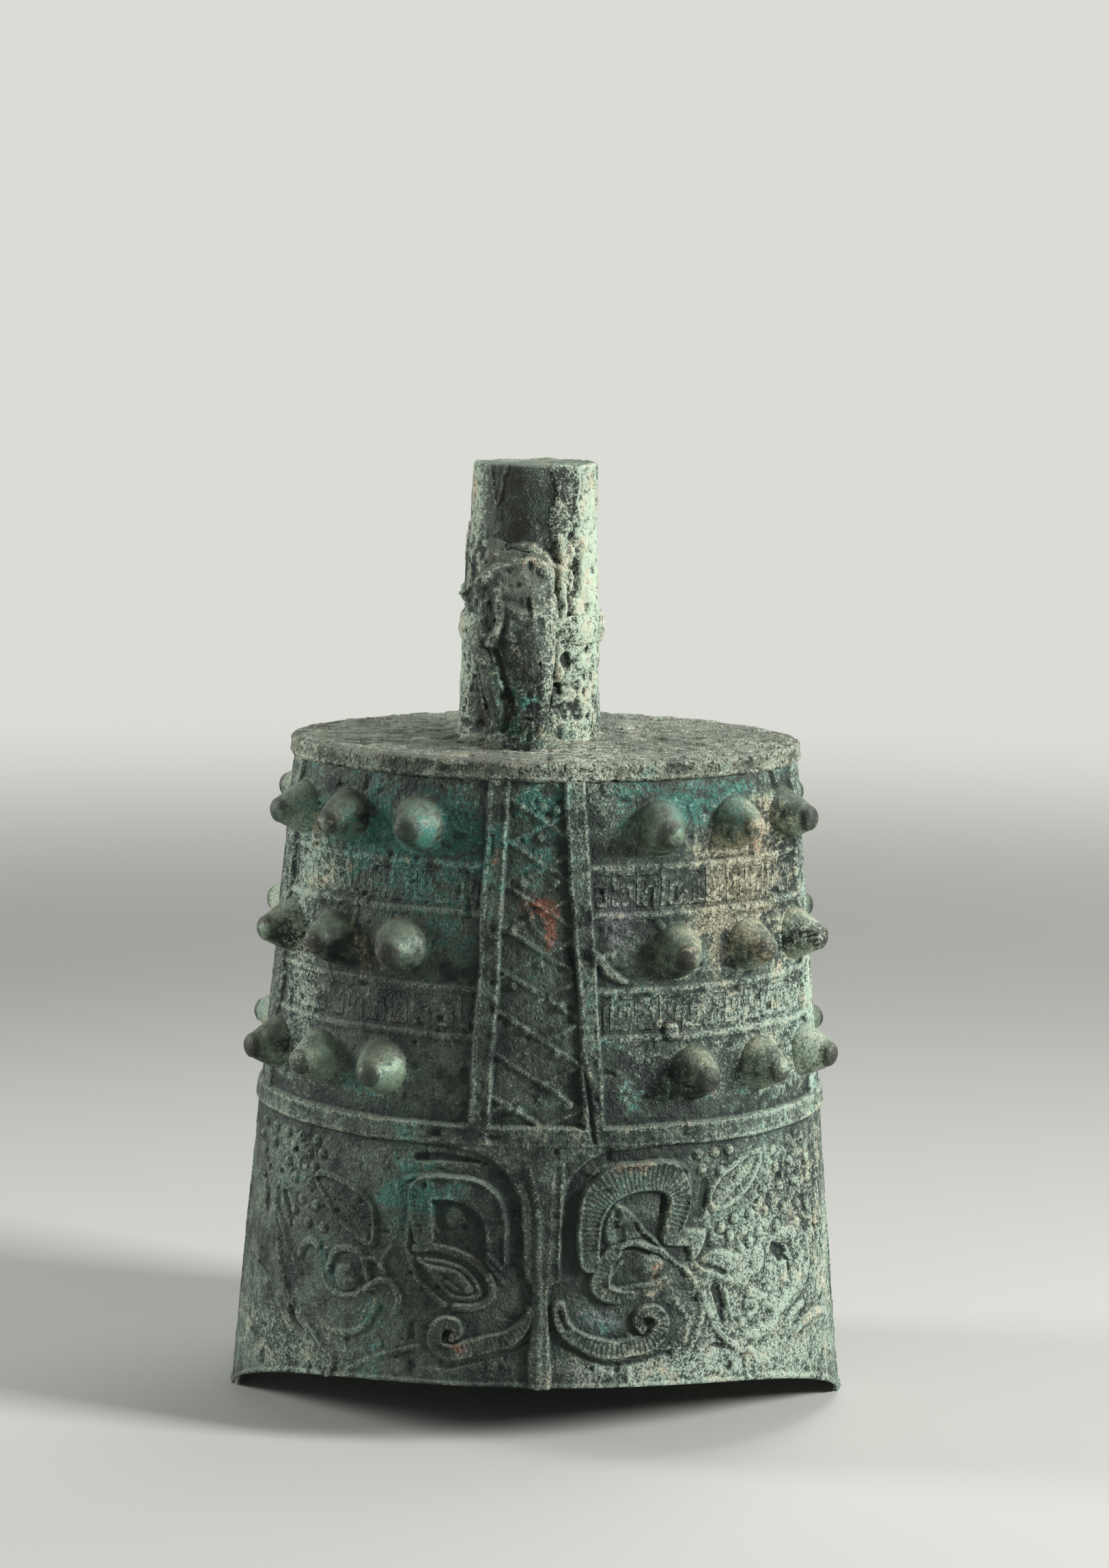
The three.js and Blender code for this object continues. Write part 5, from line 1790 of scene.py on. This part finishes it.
@dataclass
class Shank:
    """The hollow shank: smooth and streaked above, thickly crusted round the loop.

    Attributes:
        wall: Thickness of its wall.
        cap: Thickness of its closed top.
        columns: Mesh points round it.
        rows: Mesh rows up it.
        features: The crust's forms as seen from the front: runs, veins, holes and the scales below the top.
    """

    wall: float = 4.5
    cap: float = 6.0
    columns: int = 256
    rows: int = 200
    features: Sequence[Stroke] = (
        LINE((-33, 370), (-33.6, 359), (-34.2, 349), (-32.6, 340), (-30.8, 331), (-29, 322), width=2.4, rise=2,
            soft=1.8),
        LINE((-28, 366), (-31, 356), (-31.5, 345), (-34, 338), rise=1.6, soft=1.6),
        LINE((-26, 363), (-17.5, 360.5), (-9, 361.5), (-3, 358), (3, 352), width=3.6, rise=1.8, soft=2.6),
        LINE((-30, 316), (-28, 306), (-26, 296), width=2.2, rise=1.2, soft=2),
        LINE((3, 366), (5, 356), (4, 344), (5, 334), (3, 322), (4, 310), width=4.2, rise=1.7, soft=3),
        PLATE((0.5, 396), (1.5, 384), (-0.5, 372), (2, 362), (12, 358), (15, 366), (17.4, 380), (17.4, 396),
            rise=0.9, soft=1.6),
        GROOVE((8, 366), (11, 361), (10, 354), width=4, rise=1.5, soft=2.4),
        LINE((-24.6, 394.5), (-23.6, 384), (-22, 379), (-20.4, 385), (-18.4, 394.5), width=1.2, rise=0.8,
            soft=0.8),
        SUNK((-30.4, 307), (-24, 307), (-20.6, 296), (-19.4, 286), (-30.6, 285), rise=1.3),
        GROOVE((10.4, 353.4), (10.6, 351.4), width=3.2, rise=2),
        GROOVE((3.4, 327.6), (3.8, 325.6), width=3, rise=2),
        GROOVE((13.6, 333), (13.8, 331), width=2.6, rise=1.6),
        LINE((9.6, 394), (11, 387), (9.8, 380), (11.4, 372), (9, 366), width=1.4, soft=0.9),
        GROOVE((5.4, 317), (6.8, 314.6), width=4.4, rise=2.4, soft=2),
        GROOVE((3.4, 304.6), (4, 302.6), width=3.4, rise=1.8, soft=1.8),
    )

    def build(self) -> None:
        """Makes, dresses and places the shank."""
        inner_top = AXIS.length - self.cap
        bore = [(f * (AXIS.radius(inner_top) - self.wall), inner_top) for f in (0.02, 0.4, 0.8, 1.0)]
        bore += [(AXIS.radius(z) - self.wall, z) for z in np.linspace(inner_top, 0, 16)[1:]]
        bore += [(AXIS.foot - 2, 0.0)]
        side = [(AXIS.radius(z), z) for z in np.linspace(0, AXIS.length - 1.0, self.rows)]
        side += [(AXIS.head - 0.3, AXIS.length - 0.35), (AXIS.head - 1.0, AXIS.length)]
        top = [(f * (AXIS.head - 1.6), AXIS.length) for f in np.linspace(1, 0.03, 30)]
        skin = Skin(AXIS.rings(bore + side + top, self.columns))
        skin.weather(self.crust(skin.grid, len(bore), len(bore) + len(side)), 4)
        skin.place("shank_with_crust", Finish.SHANK, "shank_handle", "shank_bronze")

    def crust(self, grid: Array, first: int, last: int) -> Array:
        """The shank's corroded relief.

        Args:
            grid: The shank's points.
            first: The first row outside.
            last: The first row of the top.

        Returns:
            Height to add at every point.
        """
        noise = Grain(31)
        up = grid[..., 2] - FORM.height
        height = 0.35 * noise.rough(grid, 24, 2) + 0.22 * noise.rough(grid, 5, 3, 0.6)
        height += 0.45 * noise.rough(grid * np.array([1, 1, 0.22]), 7, 3)
        height -= 0.7 * noise.pocks(grid, 4.5, 0.76, 0.92)
        thick = ease(up, 92, 74) * ease(up, 0, 10) * (0.35 + 0.65 * ease(-grid[..., 1], -12, 14))
        lumps = noise.crests(grid * np.array([1, 1, 0.7]), 9, 5)
        height += thick * (2.6 * lumps - 0.9 - 1.7 * noise.pocks(grid + 90, 4.6, 0.68, 0.84))
        flake = noise.pocks(grid * np.array([1, 1, 0.3]) + 40, 13, 0.45, 0.52)
        height += 0.55 * flake * ease(up, 70, 84)
        height += 1.8 * fillet(up, 3.0)
        outside = grid[first:last]
        canvas = Canvas(outside[..., 0], outside[..., 2], AXIS.around, 0.8)
        canvas.draw(self.features)
        height[first:last] += canvas.value("rise") * ease(-outside[..., 1], -4, 4)
        height[:first] = 0
        height[last:] *= 0.5
        return height


@dataclass
class ShankRing:
    """The ring round the shank, worn down and crusted over except at its sides."""

    height: float = 12
    rise: float = 3
    middle: float = 47
    columns: int = 220

    def build(self) -> None:
        """Makes, dresses and places the ring."""
        share = np.linspace(0, 1, 15)
        z = lerp(self.middle - self.height / 2, self.middle + self.height / 2, share)
        bulge = np.sin(math.pi * lerp(0.06, 0.94, share)) ** 0.3
        outer = np.stack([AXIS.radius(z) + self.rise * bulge, z], axis=1)
        inner = np.stack([AXIS.radius(z) - 0.8, z], axis=1)[::-1][1:-1:3]
        skin = Skin(AXIS.rings(np.vstack([outer, inner]), self.columns), ringed=True)
        noise = Grain(41)
        height = 0.9 * noise.rough(skin.grid, 7, 4, 0.65) - 1.8 * noise.pocks(skin.grid, 5, 0.64, 0.84)
        height[len(outer):] = 0
        skin.weather(height, 2)
        skin.values["chalk"] = np.maximum(skin.values["chalk"], 0.6)
        skin.place("ring_round_shank", Finish.SHANK, "shank_ring", "ring_bronze")


@dataclass
class HangingLoop:
    """The loop: a corroded beast head that narrows to a snout and a foot, with an eye behind it.

    Attributes:
        half_width: Half width of the head.
        sections: Height, shift, back, front and share of the width of each section, from the foot up.
        columns: Mesh points round a section.
        rows: Mesh rows.
        features: The head as seen from the front: brow, hollow, snout, cheek and the strands beside them.
    """

    half_width: float = 14.5
    sections: Sequence[tuple[float, float, float, float, float]] = (
        (-1, -2.4, -26, -47, 0.56), (6, -2.5, -26, -48.5, 0.55), (12, -4.0, -38.4, -53.0, 0.62),
        (25.5, -5.6, -38.1, -54.0, 0.79), (39, -6.6, -37.6, -52.6, 0.92), (47, -7.3, -24.3, -52.2, 1.0),
        (62, -7.3, -23.7, -48.5, 1.0), (70, -7.3, -23.0, -41.0, 0.95), (77, -7.3, -21.5, -31.0, 0.86),
        (84, -7.3, -19.0, -24.0, 0.72))
    columns: int = 210
    rows: int = 210
    features: Sequence[Stroke] = (
        LINE((-27, 348.6), (-20.8, 353.9), (-12.3, 356), (-4.9, 354.9), (0.3, 350.7), (1.4, 343.3), (0.6, 336),
            width=3.2, rise=1.9, soft=2.6),
        LINE((-28, 357), (-20, 360), (-10, 359.6), (-2, 357), (3, 352), width=2.4, soft=3),
        SUNK((-20, 349.5), (-12, 352), (-4, 350.5), (-1.5, 345), (-3, 340.5), (-9, 342), (-16, 341.5),
            (-20.5, 345), rise=2, soft=3),
        GROOVE((-6.6, 344), (-4.6, 343.2), width=3, rise=1.6, soft=2),
        LINE((-15.6, 344.6), (-12, 345.8), (-8.8, 344.6), width=2.4, rise=1.2, soft=2),
        PLATE((-18.8, 340.6), (-10, 338), (-1.2, 339), (-0.6, 326), (-1.8, 312), (-4.5, 304.6), (-8, 302),
            (-11.6, 304.4), (-14.4, 313), (-17.8, 327), rise=1.5, soft=4.5),
        SUNK((-24.6, 341.5), (-22.6, 336), (-24.2, 329.4), (-27, 331), (-27.6, 338), rise=1.8, soft=2),
        LINE((-22, 345), (-20.2, 338), (-21.4, 330), (-24.6, 325), width=2.4, rise=1.6, soft=1.8),
        LINE((-25.2, 350.3), (-29.6, 343.9), (-31, 335.7), (-29.6, 327.6), (-26, 318), width=2.8, rise=1.6,
            soft=2.2),
        LINE((1.2, 342), (0.8, 334), (1, 324), (-1, 312), (-2, 300.6), (-2.6, 287.5), width=3.8, rise=1.5,
            soft=3),
        LINE((-29.7, 329), (-26.4, 314), (-23.4, 303), (-20.4, 293), (-18.8, 285), width=4.6, rise=1.9, soft=3),
        GROOVE((-22.4, 322), (-18.6, 311), (-15.4, 302), width=2.4, rise=1.4, soft=2),
        SUNK((-20.6, 306), (-14.4, 306), (-14.6, 296), (-17.6, 288), (-19.4, 296), rise=1.2, soft=2),
    )

    def build(self) -> None:
        """Makes, dresses and places the loop."""
        knots, *measures = np.array(self.sections).T
        z = np.linspace(knots[0], knots[-1], self.rows)
        shift, back, front, width = (smooth_between(z, knots, values)[:, None] for values in measures)
        turn = np.linspace(0, 2 * math.pi, self.columns, endpoint=False)
        aside, ahead = (np.sign(v) * np.abs(v) ** 0.72 for v in (np.cos(turn), np.sin(turn)))
        z = z[:, None] + 0 * turn
        x = AXIS.middle(z) + shift + width * self.half_width * aside
        y = (back + front) / 2 + (back - front) / 2 * ahead
        skin = Skin(np.stack([x, y, FORM.height + z], axis=2))
        skin.weather(self.sculpted(skin.grid), 5)
        skin.place("loop_with_beast_head", Finish.LOOP, "hanging_loop", "loop_bronze")

    def sculpted(self, grid: Array) -> Array:
        """Brow, eye hollows, snout and heavy corrosion.

        Args:
            grid: The loop's points.

        Returns:
            Height to add at every point.
        """
        canvas = Canvas(grid[..., 0], grid[..., 2], lambda x, z: x, 0.7)
        canvas.draw(self.features)
        noise = Grain(51)
        height = canvas.value("rise") * ease(-grid[..., 1], 26, 34)
        height += 0.7 * noise.rough(grid, 12, 3) + 0.25 * noise.rough(grid, 4, 3, 0.6)
        holes = noise.pocks(grid, 4.4, 0.80, 0.92) + 0.6 * noise.pocks(grid + 70, 2.8, 0.80, 0.92)
        crest = noise.crests(grid * np.array([1.3, 1, 0.45]), 8, 4)
        return height + (1.6 * crest - 0.8 - holes)


def smooth_between(at: Array, knots: Array, values: Array) -> Array:
    """Values that run smoothly through the knots without overshooting.

    Args:
        at: Where values are wanted.
        knots: Rising places of the known values.
        values: The known values.

    Returns:
        One value for each place.
    """
    slope = np.diff(values) / np.diff(knots)
    tangent = np.zeros(len(knots))
    same = slope[:-1] * slope[1:] > 0
    tangent[1:-1][same] = 2 * (slope[:-1] * slope[1:])[same] / (slope[:-1] + slope[1:])[same]
    tangent[0], tangent[-1] = slope[0], slope[-1]
    i = np.clip(np.searchsorted(knots, at, side="right") - 1, 0, len(knots) - 2)
    gap = knots[i + 1] - knots[i]
    t = (at - knots[i]) / gap
    return ((2 * t ** 3 - 3 * t ** 2 + 1) * values[i] + (t ** 3 - 2 * t ** 2 + t) * gap * tangent[i]
            + (3 * t ** 2 - 2 * t ** 3) * values[i + 1] + (t ** 3 - t ** 2) * gap * tangent[i + 1])


# Camera, floor and light


@dataclass(frozen=True)
class Lamp:
    """A square soft lamp aimed at the bell.

    Attributes:
        name: The lamp's name.
        place: Where it hangs, in metres.
        size: Its side in metres.
        power: Its power in watts.
        spread: Degrees over which its light fans out.
    """

    name: str
    place: tuple[float, float, float]
    size: float
    power: float
    spread: float

    AIM = Vector((0, 0, 0.18))

    def hang(self) -> None:
        """Adds the lamp to the scene."""
        data = bpy.data.lights.new(self.name, "AREA")
        data.size, data.energy, data.spread = self.size, self.power, math.radians(self.spread)
        lamp = bpy.data.objects.new(self.name, data)
        lamp.location = self.place
        lamp.rotation_euler = (self.AIM - lamp.location).to_track_quat("-Z", "Y").to_euler()
        bpy.context.scene.collection.objects.link(lamp)


@dataclass(frozen=True)
class Studio:
    """A plain pale floor, soft light, and the camera where the photographer stood.

    Attributes:
        position: The camera's place in millimetres.
        yaw: Degrees that it looks to the right.
        pitch: Degrees that it looks up.
        roll: Degrees that its picture is turned.
        lens: Focal length for a 36 mm long side.
        pale: Colour of the floor and of what lies behind.
        room: Colour of the light that comes from all round.
        lamps: The soft lamps.
    """

    position: tuple[float, float, float] = (-25.3, -1492.1, 486.5)
    yaw: float = 1.12
    pitch: float = -8.61
    roll: float = 1.01
    lens: float = 82.52
    pale: str = "dcdcd6"
    room: str = "ccd0d0"
    lamps: Sequence[Lamp] = (
        Lamp("key_light", (1.95, -0.7, 0.85), 0.45, 16, 90), Lamp("fill_light", (-1.2, -1.9, 0.8), 2.0, 4, 180),
        Lamp("rim_light", (-1.75, 0.15, 0.55), 0.45, 3.4, 70), Lamp("top_light", (0.5, 0.5, 1.8), 0.9, 8, 180))

    def build(self) -> None:
        """Makes the camera, the floor and the light."""
        self.camera()
        self.floor()
        self.world()
        for lamp in self.lamps:
            lamp.hang()
        log.info("studio: camera, floor and %d lamps", len(self.lamps))

    def camera(self) -> None:
        """Places the scene's camera."""
        yaw, pitch, roll = (math.radians(a) for a in (self.yaw, self.pitch, self.roll))
        ahead = Vector((math.sin(yaw) * math.cos(pitch), math.cos(yaw) * math.cos(pitch), math.sin(pitch)))
        level = Vector((math.cos(yaw), -math.sin(yaw), 0))
        rise = level.cross(ahead)
        right = level * math.cos(roll) + rise * math.sin(roll)
        up = rise * math.cos(roll) - level * math.sin(roll)
        turn = Matrix((right, up, -ahead)).transposed().to_4x4()
        data = bpy.data.cameras.new("view_from_front")
        data.lens, data.sensor_width = self.lens, 36
        camera = bpy.data.objects.new("view_from_front", data)
        camera.matrix_world = Matrix.Translation(Vector(self.position) * MM) @ turn
        bpy.context.scene.collection.objects.link(camera)
        bpy.context.scene.camera = camera

    def floor(self) -> None:
        """Makes the floor, a disc that fades into the plain surroundings."""
        turn = np.linspace(0, 2 * math.pi, 96, endpoint=False)
        rings = [np.stack([r * np.cos(turn), r * np.sin(turn), 0 * turn], axis=1)
                 for r in (6000.0, 3000.0, 1500.0, 700.0, 200.0, 20.0)]
        under = [ring - np.array([0, 0, 20.0]) for ring in rings[::-1]]
        piece = Skin(np.stack([*under, *rings])).hang("floor")
        material = bpy.data.materials.new("pale_floor")
        sheet = NodeSheet(material)
        far = sheet.out("ShaderNodeVectorMath", {"operation": "LENGTH"}, {0: sheet.place()}, "Value")
        matt = sheet.out("ShaderNodeBsdfDiffuse", {}, {"Color": tone(self.pale)})
        glow = sheet.out("ShaderNodeEmission", {}, {"Color": tone(self.pale), "Strength": SEEN_WHITE})
        share = far.step(0.7, 2.2) * sheet.seen()
        sheet.close(sheet.out("ShaderNodeMixShader", {}, {0: share, 1: matt, 2: glow}))
        piece.data.materials.append(material)

    def world(self) -> None:
        """Sets the surroundings: pale where they are seen or mirrored, dim where they light."""
        world = bpy.data.worlds.new("plain_room")
        bpy.context.scene.world = world
        sheet = NodeSheet(world)
        room = sheet.out("ShaderNodeBackground", {}, {"Color": tone(self.room), "Strength": 0.15})
        view = sheet.out("ShaderNodeBackground", {}, {"Color": tone(self.pale), "Strength": SEEN_WHITE})
        both = sheet.out("ShaderNodeMixShader", {}, {0: sheet.seen(), 1: room, 2: view})
        sheet.close(both, "ShaderNodeOutputWorld")


def main() -> None:
    """Builds the studio and the bell's pieces in order."""
    logging.basicConfig(level=logging.INFO, format="%(name)s: %(message)s")
    bpy.context.scene.view_settings.view_transform = "Standard"
    Studio().build()
    for part in (BellWall(), CrownPlate(), Shank(), ShankRing(), HangingLoop(), BossSet()):
        part.build()
    Finish.CLAY.dress(bpy.data.objects["shank_clay_core"])


if __name__ == "__main__":
    main()
